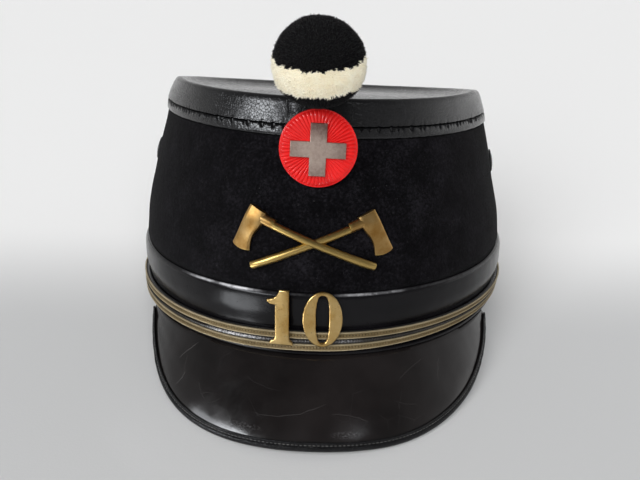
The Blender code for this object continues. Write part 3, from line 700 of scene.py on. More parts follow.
def felt_look():
    """Dense black felt: mottled pile, and a few pale specks of lint caught in it."""
    surface = {"Sheen_Weight": 0.01, "Sheen_Roughness": 0.45, "Specular_IOR_Level": 0.1}
    look = Look("felt", (0.004, 0.0037, 0.0042), 0.95, **surface)
    pile = look.noise(0.85, 6.0, 0.85)
    patches = look.varied(look.noise(0.09, 4.0, 0.62), 0.0, 0.26)
    tone = look.colours(
        look.plus(patches, look.varied(pile, 0.0, 0.74)),
        (0.2, (0.0004, 0.0003, 0.0005)),
        (0.5, (0.002, 0.0018, 0.0024)),
        (0.8, (0.0105, 0.0097, 0.012)),
    )
    specks = look.fading(look.cells(0.95, "F1"), 0.1, 0.2)
    lint = look.times(specks, look.spread(look.noise(0.4, 3.0), 0.61, 0.67))
    colour = look.mixed(lint, tone, (0.045, 0.043, 0.045))
    relief = look.relief((look.noise(0.45, 4.0, 0.75), 0.35), (pile, 0.3))
    return look.shade(Base_Color=colour, Normal=relief)


def grained_look(name, shine_level, rough=1.0):
    """Black leather with an old, crackled, pebbled finish."""
    look = Look(name, (0.006, 0.006, 0.007), 0.24, Specular_IOR_Level=shine_level)
    bent = look.node("TexNoise", {"Vector": look.here, "Scale": 0.35}).outputs["Color"]
    crumpled = look.node("VectorMath", {0: look.here, 1: bent}).outputs["Vector"]
    cracks = look.spread(look.cells(0.75, coords=crumpled), 0.0, 0.09)
    pebbles = look.cells(1.7, "F1", crumpled)
    worn = look.noise(0.05, 4.0, 0.6)
    tone = look.colours(worn, (0.3, (0.0035, 0.0035, 0.004)), (0.75, (0.0085, 0.0085, 0.0095)))
    colour = look.mixed(cracks, (0.003, 0.003, 0.003), tone)
    shine = look.spread(look.noise(0.4, 5.0, 0.7), 0.3, 0.72, 0.14, 0.3)
    relief = look.relief(
        (cracks, 0.03 * rough),
        (pebbles, 0.02 * rough),
        (look.noise(1.1, 4.0, 0.8), 0.024 * rough),
        (look.noise(0.1), 0.14),
    )
    return look.shade(Base_Color=colour, Roughness=shine, Normal=relief)


# How strongly a highlight is painted on the headband's upper edge, from the left (0) to the right (1).
BAND_EDGE_HIGHLIGHT = (
    (0.0, 0.01), (0.17, 0.01), (0.24, 0.8), (0.34, 1.0), (0.38, 0.04),
    (0.54, 0.04), (0.59, 0.5), (0.66, 0.5), (0.71, 0.04), (1.0, 0.01),
)
# How strongly a glint is painted on the strap's cord, from the left (0) to the right (1).
CORD_GLINT = (
    (0.0, 0.0), (0.24, 0.02), (0.27, 0.8), (0.34, 1.0), (0.385, 0.15),
    (0.53, 0.03), (0.57, 0.3), (0.61, 0.02), (1.0, 0.0),
)
# Wear on the peak, and highlights painted on it, in its texture coordinates: along the peak and down it
# from the root.
PEAK_SCRATCHES = (
    # start, end, bend, half width, strength
    ((-58.5, 3.3), (-65.7, 17.4), 0.8, 0.26, 0.8),
    ((-57.5, 19.4), (-60.0, 30.2), -0.7, 0.24, 0.55),
    ((-61.5, 12.0), (-58.0, 24.0), 0.5, 0.18, 0.3),
    ((-50.0, 20.5), (-43.0, 27.5), 0.6, 0.2, 0.28),
    ((-47.0, 25.5), (-39.5, 21.5), -0.8, 0.18, 0.22),
    ((-42.0, 28.5), (-35.5, 23.0), 0.7, 0.18, 0.2),
    ((-22.8, 27.9), (6.0, 21.7), 2.6, 0.22, 0.4),
    ((6.0, 22.9), (20.3, 26.8), -1.1, 0.22, 0.35),
    ((-30.0, 12.0), (-12.0, 16.5), 1.2, 0.16, 0.18),
    ((34.0, 12.5), (50.5, 5.5), -1.0, 0.2, 0.3),
    ((58.0, 8.0), (52.5, 20.0), 0.9, 0.2, 0.3),
    ((30.0, 21.0), (41.0, 26.0), 0.8, 0.18, 0.22),
)
# Painted highlights on the peak: pale speckled patches near its free edge.
PEAK_HIGHLIGHT_PATCHES = (
    # middle, half length, half width
    ((-24.3, 31.4), 8.0, 2.0),
    ((11.0, 32.0), 7.0, 1.8),
)


def scratch(look, start, end, bend, half_width):
    """1 on a slightly bent, uneven line between two places on the texture coordinates."""
    start, end = Vector(start), Vector(end)
    length = (end - start).length
    turn = math.atan2(end.y - start.y, end.x - start.x)
    shift = Matrix.Rotation(-turn, 2) @ -start
    spot = look.apart(look.stretched(look.uv, shift=(*shift, 0.0), turn=-turn))
    from_middle = look.maths("SUBTRACT", spot["X"], length / 2)
    bow = look.times(look.times(from_middle, from_middle), bend * 4 / length**2)
    waver = look.spread(look.noise(0.3, 3.0, 0.6, look.uv), 0.2, 0.8, -0.45, 0.45)
    off_line = look.maths("ABSOLUTE", look.plus(look.plus(spot["Y"], bow), waver))
    ends = look.fading(look.maths("ABSOLUTE", from_middle), 0.3 * length, 0.5 * length)
    return look.times(look.fading(off_line, 0.0, half_width), ends)


def painted_highlight_patch(look, middle, half_length, half_width):
    """1 on specks in an oval patch that fades towards its edge: a painted highlight."""
    size = (1.0 / half_length, 1.0 / half_width, 1.0)
    oval = look.stretched(look.uv, size, (-middle[0] * size[0], -middle[1] * size[1], 0.0))
    inside = look.fading(look.length(oval), 0.1, 1.0, smooth=True)
    return look.times(inside, look.spread(look.noise(1.3, 4.0, 0.7, look.uv), 0.5, 0.7))


def painted_edge_highlight(look, edge_at):
    """1 where a highlight is painted in patches on an edge that runs along the piece."""
    near = look.fading(look.away(look.apart(look.uv)["Y"], edge_at), 0.0, 0.8, smooth=True)
    patches = look.spread(look.noise(0.16, 3.0, 0.6), 0.4, 0.6, 0.2, 1.0)
    return look.times(look.times(near, patches), look.greys(look.rightward(), BAND_EDGE_HIGHLIGHT))


def hairlines(look):
    """1 on fine scratches that run every way, in patches."""
    lines = look.cells(0.11, coords=look.stretched(look.here, (1.0, 0.25, 1.0), turn=0.8))
    return look.times(look.fading(lines, 0.0, 0.006), look.spread(look.noise(0.05, 3.0), 0.5, 0.7))


def patent_look(name, tone, gloss, shine_level, scratches=(), highlight_patches=(), edge_at=None):
    """Lacquered leather with faint waves and smudges, scratches where it is worn, and painted highlights
    on an edge and in speckled patches.
    """
    look = Look(name, tone, 0.2, Specular_IOR_Level=shine_level)
    tint = look.noise(0.03, 3.0, 0.6)
    colour = look.colours(tint, (0.3, shade_of(tone, 0.55)), (0.7, shade_of(tone, 1.7)))
    if edge_at is not None:
        # Painted highlight: a pale bluish colour on the upper edge.
        colour = look.mixed(painted_edge_highlight(look, edge_at), colour, (0.62, 0.62, 0.65))
    for start, end, bend, half_width, strength in scratches:
        line = scratch(look, start, end, bend, half_width)
        colour = look.mixed(look.times(line, strength), colour, (0.055, 0.052, 0.052))
    # Painted highlights: pale speckled patches.
    for middle, half_length, half_width in highlight_patches:
        colour = look.mixed(painted_highlight_patch(look, middle, half_length, half_width), colour, (0.075, 0.072, 0.075))
    hairs = hairlines(look)
    colour = look.mixed(look.times(hairs, 0.45), colour, (0.034, 0.032, 0.032))
    shine = look.spread(look.noise(0.06, 5.0, 0.7, distortion=0.6), 0.35, 0.75, *gloss)
    relief = look.relief((look.noise(0.045), 0.5), (look.noise(0.5, 3.0, 0.6), 0.03), (hairs, 0.01))
    return look.shade(Base_Color=colour, Roughness=shine, Normal=relief)


def strap_look():
    """Dull black strap leather with a fine grain."""
    look = Look("strap_leather", (0.012, 0.0115, 0.0115), 0.3)
    shine = look.varied(look.noise(0.25, 4.0, 0.6), 0.22, 0.42)
    return look.shade(Roughness=shine, Normal=look.relief((look.cells(1.4, "F1"), 0.05)))


def waxed_look():
    """Waxed black cord, with a glint painted on it in places."""
    look = Look("waxed_cord", (0.01, 0.009, 0.008), 0.22, Specular_IOR_Level=0.5)
    worn = look.noise(0.3, 3.0, 0.6)
    colour = look.colours(worn, (0.35, (0.005, 0.0045, 0.004)), (0.65, (0.018, 0.015, 0.012)))
    strands = look.spread(look.noise(1.1, 3.0, 0.6), 0.42, 0.58, 0.2, 1.0)
    # Painted glint: a pale grey in dashes along the strands, as strong as the table above gives.
    bright = look.times(look.greys(look.rightward(), CORD_GLINT), strands)
    colour = look.mixed(bright, colour, (0.5, 0.5, 0.52))
    shine = look.varied(worn, 0.1, 0.22)
    relief = look.relief((look.noise(2.0, 3.0), 0.03))
    return look.shade(Base_Color=colour, Roughness=shine, Normal=relief)


def braid_look():
    """Gold thread: pale twisted edges, a darker woven middle that is partly painted shade, dark painted
    shade in the pits of the weave, and tarnish in places.
    """
    look = Look("gold_braid", (0.45, 0.36, 0.2), 0.42, 0.55)
    spot = look.apart(look.uv)
    from_middle = look.away(spot["Y"], BRAID_WIDTH / 2)
    tarnish = look.noise(0.08, 4.0, 0.65)
    pale = look.colours(tarnish, (0.3, (0.3, 0.24, 0.143)), (0.7, (0.46, 0.385, 0.25)))
    # The middle's darker colour is partly painted shade of the hollow between the raised edges.
    dull_and_shaded = look.colours(tarnish, (0.3, (0.13, 0.092, 0.039)), (0.7, (0.21, 0.154, 0.074)))
    colour = look.mixed(look.spread(from_middle, 0.8, 1.0, smooth=True), dull_and_shaded, pale)
    # Painted shade: dark spots where the woven middle dips between its bumps.
    phase = look.maths("FRACT", look.maths("DIVIDE", spot["X"], 2.0 * BRAID_PITCH))
    dot = look.fading(look.away(phase, 0.5), 0.12, 0.24)
    pit_shade = look.times(dot, look.fading(from_middle, 0.2, 0.34))
    colour = look.mixed(pit_shade, colour, (0.03, 0.018, 0.006))
    threads = look.waves(1.9, look.stretched(look.uv, turn=0.9), distortion=0.4)
    return look.shade(Base_Color=colour, Normal=look.relief((threads, 0.05)))


def brass_look(name, tone, gloss, polished=None):
    """Satin brass, worn unevenly and toned in patches; on the axes, the hafts are polished."""
    look = Look(name, tone, 0.32, 1.0)
    dark, light = (tuple(part**power for part in tone) for power in (1.35, 0.8))
    colour = look.colours(look.noise(0.16, 4.0, 0.6), (0.28, dark), (0.5, tone), (0.75, light))
    shine = look.varied(look.noise(0.7, 5.0, 0.7), *gloss)
    if polished:
        spot = look.apart(look.uv)
        between_heads = look.fading(look.maths("ABSOLUTE", spot["X"]), 14.5, 15.5)
        under_heads = look.fading(spot["Y"], -6.0, -5.0)
        on_haft = look.maths("MAXIMUM", between_heads, under_heads)
        colour = look.mixed(on_haft, colour, polished)
        shine = look.plus(shine, look.times(on_haft, -0.09))
    relief = look.relief((look.noise(0.5, 3.0, 0.6), 0.03), (look.noise(3.0, 3.0, 0.7), 0.015))
    return look.shade(Base_Color=colour, Roughness=shine, Normal=relief)


def red_look():
    """Red lacquer, a little uneven in tone."""
    surface = {"Coat_Weight": 0.3, "Coat_Roughness": 0.1, "Specular_IOR_Level": 0.15}
    look = Look("red_lacquer", (0.5, 0.011, 0.01), 0.34, **surface)
    tone = look.noise(0.18, 3.0, 0.6)
    colour = look.colours(tone, (0.3, (0.44, 0.006, 0.006)), (0.7, (0.6, 0.012, 0.011)))
    return look.shade(Base_Color=colour, Normal=look.relief((look.noise(0.8, 3.0, 0.6), 0.03)))


def white_metal_look():
    """Dull white metal, tarnished brown towards the ends of the cross and darker brown towards its top."""
    look = Look("white_metal", (0.42, 0.38, 0.34), 0.42, 0.85)
    ends = look.spread(look.length(look.uv), 4.0, 10.5, 0.0, 0.35, smooth=True)
    # Darker towards the top of the cross.
    top = look.spread(look.apart(look.uv)["Y"], 1.5, 8.0, 0.0, 0.4, smooth=True)
    spots = look.spread(look.noise(0.6, 5.0, 0.75), 0.35, 0.7, 0.0, 0.4)
    tarnish = look.plus(look.plus(ends, top), spots)
    colour = look.colours(tarnish, (0.1, (0.48, 0.38, 0.325)), (0.95, (0.17, 0.1, 0.084)))
    shine = look.varied(look.noise(0.9, 4.0, 0.6), 0.36, 0.55)
    relief = look.relief((look.noise(1.4, 4.0, 0.7), 0.04))
    return look.shade(Base_Color=colour, Roughness=shine, Normal=relief)


def wool_look(name, dark, light, sheen):
    """Wool in clumps and strands, between a dark and a light colour."""
    surface = {"Sheen_Weight": sheen, "Sheen_Roughness": 0.5, "Specular_IOR_Level": 0.1}
    look = Look(name, dark, 1.0, **surface)
    strands = look.noise(1.1, 4.0, 0.7)
    clumps = look.noise(0.25, 3.0, 0.6)
    halves = (look.varied(part, 0.0, 0.5) for part in (strands, clumps))
    colour = look.colours(look.plus(*halves), (0.1, dark), (0.9, light))
    return look.shade(Base_Color=colour, Normal=look.relief((strands, 0.2)))


def plain_metal_look(name, tone, roughness, metallic):
    """Metal, bare or blackened, with worn patches."""
    look = Look(name, tone, roughness, metallic)
    worn = look.noise(0.8, 4.0, 0.6)
    colour = look.colours(worn, (0.3, shade_of(tone, 0.7)), (0.7, shade_of(tone, 1.3)))
    shine = look.varied(worn, roughness - 0.08, roughness + 0.12)
    return look.shade(Base_Color=colour, Roughness=shine, Normal=look.relief((worn, 0.02)))


def thread_look():
    """Waxed black thread, rubbed greyer in places."""
    look = Look("waxed_thread", (0.05, 0.048, 0.046), 0.3, Specular_IOR_Level=0.9)
    worn = look.noise(0.12, 3.0, 0.6)
    colour = look.colours(worn, (0.35, (0.01, 0.01, 0.01)), (0.65, (0.09, 0.087, 0.082)))
    twist = look.waves(2.2, look.stretched(look.here, turn=0.7))
    return look.shade(Base_Color=colour, Normal=look.relief((twist, 0.05)))


# ---------------------------------------------------------------- body and crown


def make_felt():
    """The tapering wall: its foot is inside the headband and its top inside the crown."""
    outside = smooth_path(FELT_SLOPE, 10)
    inside = [FELT_UNDER_CROWN[-1], *reversed(outside[::6].tolist()), (88.2, 24.0), FELT_FOOT[0]]
    inside = np.array(inside) - (FELT_WALL, 0.0)
    section = np.concatenate((FELT_FOOT, outside, FELT_UNDER_CROWN, inside))
    angles, length, half_width, height = laid_round(section, section[:, 0].max(), HAT_COLUMNS)
    free = between(height, 28.0, 34.0) * between(height, 86.0, 82.0)
    uneven = ripple(angles, height, 3, 7, 3, 16) * 0.14 + ripple(angles, height, 4, 9, 25, 90) * 0.05
    points = ring(angles, half_width, height, free * (uneven - 0.1))
    mesh = turned_mesh("felt_shell", points, section_lengths(section, True), length)
    add_piece("felt_shell", mesh, felt_look(), "felt_body")


def hem_notches(angles, seed, spacing, length):
    """V-shaped nicks round a hem: 0 between them and 1 in the middle of the deepest."""
    draw = np.random.default_rng(seed)
    total = np.zeros_like(angles)
    place = 0.0
    while place < length:
        at_front = min(place, length - place) < 52.0
        width = draw.uniform(0.4, 1.0) * (1.4 if at_front else 1.0)
        depth = draw.uniform(0.2, 1.0) ** (0.7 if at_front else 1.4)
        away = np.abs((angles / TURN * length - place + length / 2) % length - length / 2)
        total = np.maximum(total, depth * np.clip(1.0 - away / width, 0.0, 1.0))
        place += draw.uniform(*spacing) * (1.9 if at_front else 1.0)
    return total


def make_crown(leather):
    """The cap: a sunken dish, a rounded rim and a side drawn in to small tucks at the seam."""
    profile = smooth_path(CROWN_OUTSIDE, 3)
    section = np.concatenate((profile, CROWN_UNDERSIDE))
    angles, length, half_width, height = laid_round(section, 78.0, CROWN_COLUMNS)
    tucks = hem_notches(angles, TUCK_SEED, TUCK_SPACING, CROWN_ROUND)
    outer = (np.arange(len(section)) <= len(profile))[:, None]
    side = outer * between(height, 98.0, 92.0) * (half_width > 74.0)
    hem = outer * between(height, 94.0, 91.4) * (half_width > 74.0)
    folds = ripple(angles, height, 9, 12, 60, 190)
    lumps = ripple(angles, half_width * 1.6 + height, 10, 10, 6, 40)
    front = between(np.cos(angles), 0.0, 1.0) * outer * between(height, 98.5, 100.5)
    out = side * 0.02 * folds - hem * 0.25 * tucks
    rise = outer * 0.06 * lumps + hem * 0.4 * tucks * (height < 92.0) + 0.7 * front
    points = ring(angles, half_width, height + rise, out)
    mesh = turned_mesh("crown_cap", points, section_lengths(section, False), length, closed=False)
    add_piece("crown_cap", mesh, leather, "crown_top", 60.0)


def make_flange(leather):
    """Leather strip below the seam, puckered where it is sewn and smooth at its lower edge."""
    section = np.concatenate((smooth_path(FLANGE_OUTSIDE, 2), FLANGE_INSIDE))
    angles, length, half_width, height = laid_round(section, 78.4, FLANGE_COLUMNS)
    tucks = hem_notches(angles, TUCK_SEED, TUCK_SPACING, CROWN_ROUND)
    tucks = tucks + 0.2 * hem_notches(angles, TUCK_SEED + 1, (0.9, 2.2), CROWN_ROUND)
    outer = between(half_width, 77.6, 78.1)
    high = between(height, 88.2, 90.8)
    puckers = ripple(angles, height, 12, 14, 90, 330)
    waver = ripple(angles, height, 13, 8, 30, 120)
    out = outer * (0.07 * puckers * (0.35 + 0.65 * high) - 0.85 * tucks * high**2)
    rise = outer * (0.1 * waver * (1.0 - high) - 2.0 * tucks * high**3)
    points = ring(angles, half_width, height + rise, out)
    mesh = turned_mesh("crown_hem", points, section_lengths(section, True), length)
    add_piece("crown_hem", mesh, leather, "crown_flange", 60.0)


def make_headband(patent):
    """Smooth band round the foot of the felt, turned under it and fuller at the sides."""
    section = np.concatenate((smooth_path(HEADBAND_OUTSIDE, 3), HEADBAND_INSIDE))
    angles, length, half_width, height = laid_round(section, section[:, 0].max(), HAT_COLUMNS)
    face = between(height, 3.0, 9.0) * (half_width > 89.0)
    fuller = 0.7 * np.abs(np.sin(angles)) ** 3 * between(height, 12.0, 17.0)
    uneven = 0.1 * ripple(angles, height, 21, 7, 2, 9) - 0.05
    points = ring(angles, half_width, height, face * (uneven + fuller))
    mesh = turned_mesh("headband_shell", points, section_lengths(section, True), length)
    add_piece("headband_shell", mesh, patent, "headband")


def strap_ring(angles, half_width, height, out=0.0):
    """Rings on the strap, which sags a little at -X and narrows upward at +X."""
    side = np.sin(angles)
    narrowed = STRAP_NARROWING * eased(side, 0.05, 0.75)
    sunk = STRAP_SAG * eased(-side, 0.0, 0.5)
    share = (STRAP_TOP - height) / STRAP_WIDTH
    return ring(angles, half_width, height + share * narrowed - sunk, out)


def make_strap(leather):
    """Plain chin strap, a whole loop laid round the headband."""
    section = smooth_path(STRAP_SECTION, 2)
    angles, length, half_width, height = laid_round(section, 90.7, HAT_COLUMNS)
    points = strap_ring(angles, half_width, height)
    mesh = turned_mesh("chin_strap", points, section_lengths(section, True), length)
    add_piece("chin_strap", mesh, leather, "strap")


def make_braid(which, gold):
    """Two twisted edges and a woven middle, each twist and dot a bump in the mesh."""
    half_width = BRAID_HALF_WIDTH + 0.5
    twists = 2 * round(even_angles(half_width, 4)[1] / BRAID_PITCH / 2)
    count = twists * BRAID_STEPS
    angles, _ = even_angles(half_width, count)
    share, rise, twist = (np.array(column)[:, None] for column in zip(*BRAID_PROFILE))
    steps = np.arange(count) / BRAID_STEPS
    turned = np.sin(TURN * (steps + share * 2.2)) * np.abs(twist) * 0.06
    dotted = np.where(np.isclose(share, 0.5), 0.16 * np.cos(TURN * steps / 2), 0.0)
    height = BRAID_LOWS[which] + share * BRAID_WIDTH
    points = strap_ring(angles, BRAID_HALF_WIDTH, height, rise + turned + dotted)
    across = np.append(share * BRAID_WIDTH, 0.0)
    mesh = turned_mesh("braid_" + which, points, across, BRAID_PITCH * twists)
    add_piece("gold_braid_" + which, mesh, gold, "braid_" + which, 75.0)


def make_cord(leather):
    """Black twisted cord that lies between the braids."""
    twists = round(even_angles(CORD_HALF_WIDTH, 4)[1] / CORD_PITCH)
    angles, length = even_angles(CORD_HALF_WIDTH, twists * CORD_STEPS)
    steps = np.arange(len(angles)) / CORD_STEPS
    around = TURN * np.arange(CORD_SIDES)[:, None] / CORD_SIDES
    radius = CORD_RADIUS + CORD_TWIST * np.sin(TURN * steps + 2.0 * around)
    height = CORD_HEIGHT + radius * np.sin(around)
    points = strap_ring(angles, CORD_HALF_WIDTH, height, radius * np.cos(around))
    across = CORD_RADIUS * TURN * np.arange(CORD_SIDES + 1) / CORD_SIDES
    mesh = turned_mesh("strap_cord", points, across, length)
    add_piece("strap_cord", mesh, leather, sharp_degrees=75.0)


# ---------------------------------------------------------------- peak


def peak_reach(angle):
    """How far the peak reaches down its slope from its root."""
    share = np.minimum(np.abs(angle) / PEAK_END, 1.0)
    return PEAK_REACH * (1.0 - share**PEAK_SHAPE) ** PEAK_TAPER


def peak_points(angle, share):
    """Points on the peak's upper face, at shares of its reach from the root to the free edge."""
    angle, share = np.broadcast_arrays(angle, share)
    steeper = (PEAK_SLOPE_SIDE - PEAK_SLOPE_FRONT) * (np.abs(angle) / PEAK_END) ** PEAK_SLOPE_POWER
    slope = (PEAK_SLOPE_FRONT + steeper)[..., None]
    across, level = np.sin(angle), 0.0 * angle
    outward = unit(np.stack((across, -np.cos(angle) / DEPTH_TO_WIDTH, level), -1))
    up = np.array((0.0, 0.0, 1.0))
    reach = peak_reach(angle) * (1.0 - 0.05 * eased(angle, 0.25, 0.65))
    bulge = PEAK_BULGE * (reach / PEAK_REACH) * share * (1.0 - share**5)
    root = ring(angle, PEAK_ROOT_HALF_WIDTH, PEAK_ROOT_HEIGHT)
    plain = np.stack((across, -DEPTH_TO_WIDTH * np.cos(angle), level), -1) * PEAK_ROOT_HALF_WIDTH
    plain[..., 2] = PEAK_ROOT_HEIGHT
    settled = between(share * reach, 12.0, 0.0) ** 2
    return (
        plain
        + (root - plain) * settled[..., None]
        + (outward * np.cos(slope) - up * np.sin(slope)) * (reach * share)[..., None]
        + (outward * np.sin(slope) + up * np.cos(slope)) * bulge[..., None]
    )


def below(points, thickness):
    """Points the same distance below each point of a sheet whose rows run down it."""
    normals = unit(np.cross(np.gradient(points, axis=1)[:-1], np.diff(points, axis=0)))
    first = np.concatenate((normals[:1], normals))
    second = np.concatenate((normals, normals[-1:]))
    middle = unit(first + second)
    middle /= np.sum(middle * second, -1, keepdims=True)
    if middle[len(middle) // 2, middle.shape[1] // 2, 2] < 0:
        middle = -middle
    return points - middle * thickness


def make_peak(patent):
    """One curved sheet, with a flat tongue under the foot of the headband."""
    angles = np.linspace(-PEAK_CUT, PEAK_CUT, 200)
    tongue = [ring(angles, PEAK_ROOT_HALF_WIDTH, PEAK_ROOT_HEIGHT, out) for out in PEAK_TONGUE]
    shares = np.concatenate(([0.05], np.linspace(0.09, 1.0, 38)))
    top = np.concatenate((np.stack(tongue), peak_points(angles, shares[:, None])))
    low = below(top, PEAK_THICKNESS)
    rows = np.arange(len(top))[:, None]
    inner = between(rows, 0.0, 10.0) * between(rows, len(top) - 1.0, len(top) - 7.0)
    uneven = 0.09 * ripple(angles, rows * 4.0, 31, 8, 4, 18) * inner
    top = top + np.array((0.0, -0.7, 0.7)) * uneven[..., None]
    points = np.concatenate((top, low[::-1]))
    down = np.concatenate(([-4.0, -2.0, -0.5], shares * PEAK_REACH))
    across = np.concatenate((down, down[::-1], down[:1]))
    mesh = grid_mesh("peak_sheet", points, across, angles * 100.0, closed=True, caps="strip")
    add_piece("peak_sheet", mesh, patent, "peak")


def peak_edge(angles):
    """The sheet's free edge: its middle, and the directions outward, upward and along it there."""
    step = 0.004
    edge = peak_points(angles, 1.0)
    run = unit(peak_points(angles + step, 1.0) - peak_points(angles - step, 1.0))
    inward = peak_points(angles, 0.96) - edge
    normal = unit(np.cross(run, inward))
    normal *= np.sign(normal[..., 2:])
    outward = unit(np.cross(run, normal))
    outward *= -np.sign(np.sum(outward * inward, -1, keepdims=True))
    return edge - normal * (PEAK_THICKNESS / 2), outward, normal, run


def even_peak_angles(count):
    """Angles that part the peak's free edge into equal lengths, and the whole length."""
    fine = np.linspace(-PEAK_CUT, PEAK_CUT, 4001)
    steps = np.linalg.norm(np.diff(peak_points(fine, 1.0), axis=0), axis=1)
    travelled = np.concatenate(([0.0], np.cumsum(steps)))
    return np.interp(np.linspace(0.0, travelled[-1], count), travelled, fine), travelled[-1]


def binding_share(angles):
    """How much of its full depth the binding keeps as the peak runs out."""
    return np.minimum(BINDING_DEPTH, 0.5 * peak_reach(angles)) / BINDING_DEPTH


def make_binding(leather):
    """Leather folded round the free edge, with a roll outside its sewn line."""
    count = 500
    angles, length = even_peak_angles(count)
    middle, outward, normal, _ = peak_edge(angles)
    upper = np.concatenate((smooth_path(BINDING_ROLL, 3), BINDING_INSIDE))
    section = np.concatenate((upper, upper[:0:-1] * (1.0, -1.0)))
    across, rise = section[:, :1], section[:, 1:]
    out = across * np.where(across < 0, binding_share(angles), 1.0)
    draw = np.random.default_rng(41)
    knocks = np.convolve(draw.normal(0.0, 1.0, count + 6), np.ones(7) / 7, "valid") * 0.12
    swell = np.clip((np.abs(rise) - 1.3) * 3.0, 0.0, 1.0) * knocks
    height = rise + swell * np.sign(rise)
    points = middle + outward * out[..., None] + normal * height[..., None]
    along = np.linspace(0.0, length, count)
    mesh = grid_mesh("peak_roll", points, section_lengths(section, True), along, closed=True)
    close_ends(mesh, len(section), count)
    add_piece("peak_roll", mesh, leather, "peak_binding", 60.0)


def close_ends(mesh, rows, columns):
    """Closes the first and the last column of a grid, each by one face."""
    bm = bmesh.new()
    bm.from_mesh(mesh)
    bm.verts.ensure_lookup_table()
    for edge in (0, columns - 1):
        bm.faces.new([bm.verts[row * columns + edge] for row in range(rows)])
    bmesh.ops.recalc_face_normals(bm, faces=bm.faces)
    bm.to_mesh(mesh)
    bm.free()


def make_stitches(thread):
    """Short stitches sunk in the binding's sewn line, on its upper side."""
    angles = even_peak_angles(2 * STITCHES + 1)[0][1::2]
    middle, outward, normal, run = peak_edge(angles)
    centre = middle - outward * (1.3 * binding_share(angles))[:, None] + normal * 1.3
    sides, rows = 6, len(STITCH_ROWS)
    points = []
    for share, size, lift in STITCH_ROWS:
        radius = STITCH_RADIUS * size
        for turn in TURN * np.arange(sides) / sides:
            from_axis = outward * (math.cos(turn) * radius) + normal * (math.sin(turn) * radius + lift)
            points.append(centre + run * (share * STITCH_HALF_LENGTH) + from_axis)
    points = np.stack(points, 1)
    row, column = quads(rows, sides, False, True)
    last = (rows - 1) * sides
    ends = []
    for i in (1, 3):
        ends += [(0, i + 2, i + 1, i), (last, last + i, last + i + 1, last + i + 2)]
    one = np.concatenate((row * sides + column % sides, ends))
    every = (one[None] + np.arange(STITCHES)[:, None, None] * rows * sides).reshape(-1, 4)
    if volume_sign(points[0], one) < 0:
        every = every[:, ::-1]
    mesh = mesh_from("binding_stitches", points, [every], np.zeros((every.size, 2)))
    add_piece("binding_stitches", mesh, thread)


# ---------------------------------------------------------------- ornaments


def front_frame(half_width_at, x, height, out):
    """Frame on the front of a wall, at a distance across from its middle."""
    return wall_frame(half_width_at, float(angle_at(half_width_at, x, height)), height, out)


def cockade_place():
    """Frame of the disc: it stands out from the felt, and its top leans outward."""
    place = front_frame(felt_half_width, COCKADE_X, COCKADE_HEIGHT, COCKADE_OUT)
    return place @ Matrix.Rotation(COCKADE_TILT, 4, "X") @ Matrix.Rotation(COCKADE_TURN, 4, "Z")


def turned(profile, angles, place):
    """Points of (radius, height) rows turned round Z and moved by a matrix in millimetres."""
    radius, height = profile
    flat = np.stack(np.broadcast_arrays(radius * np.cos(angles), radius * np.sin(angles), height), -1)
    return flat @ np.array(place.to_3x3()).T + np.array(place.translation)


def make_cockade():
    """Disc pressed into rounded flutes that stop short of a plain rim."""
    count = COCKADE_FLUTES * 10
    profile = smooth_path(COCKADE_PROFILE, 2)
    radius, height, depth = (profile[:, i : i + 1] for i in range(3))
    angles = TURN * np.arange(count) / count
    valley = (1.0 - np.abs(np.cos(angles * COCKADE_FLUTES / 2))) ** 1.3 * (0.75 + 0.3 * np.sin(2 * angles))
    points = turned((radius, height - np.maximum(depth, 0.0) * valley), angles, cockade_place())
    mesh = turned_mesh("cockade", points, section_lengths(profile, False), TURN, closed=False)
    add_piece("cockade", mesh, red_look(), "cockade_disc", 50.0)


def make_cross():
    """Plain cross with equal arms, raised on the disc."""
    long, short = CROSS_ARM, CROSS_HALF_WIDTH
    outline = []
    for cos, sin in ((1, 0), (0, 1), (-1, 0), (0, -1)):
        for x, y in ((short, short), (short, long), (-short, long)):
            outline.append((cos * x - sin * y, (sin * x + cos * y) * CROSS_SQUASH))
    place = cockade_place() @ Matrix.Translation(CROSS_ON_DISC)
    mesh = placed("cross", plate([outline], CROSS_THICKNESS, CROSS_BEVEL, 3), place)
    add_piece("cross", mesh, white_metal_look(), "cockade_cross", 30.0)


def on_badge(points):
    """Flat points of the badge, bent to follow the front of the felt."""
    height = BADGE_HEIGHT + points[:, 1]
    angle = angle_at(felt_half_width, BADGE_X + points[:, 0], height)
    return wall(felt_half_width, angle, height, BADGE_OUT + points[:, 2])


def axe_head(bm, side):
    """Axe head: a thick poll, sides that thin towards the flared bit, and softened edges."""
    inner = smooth_path(AXE_INNER_EDGE, 5)
    outer = smooth_path(AXE_OUTER_EDGE, 5)
    last = len(inner) - 1
    sections = []
    for i, inset in [(0, 0.5), (0, 0.12)] + [(i, 0.0) for i in range(1, last)] + [(last, 0.1)]:
        share = i / last
        thick = AXE_POLL_THICKNESS + (AXE_BIT_THICKNESS - AXE_POLL_THICKNESS) * eased(share, 0.2, 1.0)
        belly = np.array(AXE_BELLY) * share**3
        top, low = [], []
        for across in np.arange(AXE_CELLS + 1) / AXE_CELLS:
            spot = outer[i] * (1 - across) + inner[i] * across + belly * 4 * across * (1 - across)
            rounded = thick - 0.45 * (2 * abs(across - 0.5)) ** 10 - 0.25 * (2 * across - 1) ** 2
            top.append(Vector((side * spot[0], spot[1], rounded - inset)))
            low.append(Vector((side * spot[0], spot[1], 0.0)))
        sections.append(top + low[::-1])
    lofted(bm, sections)


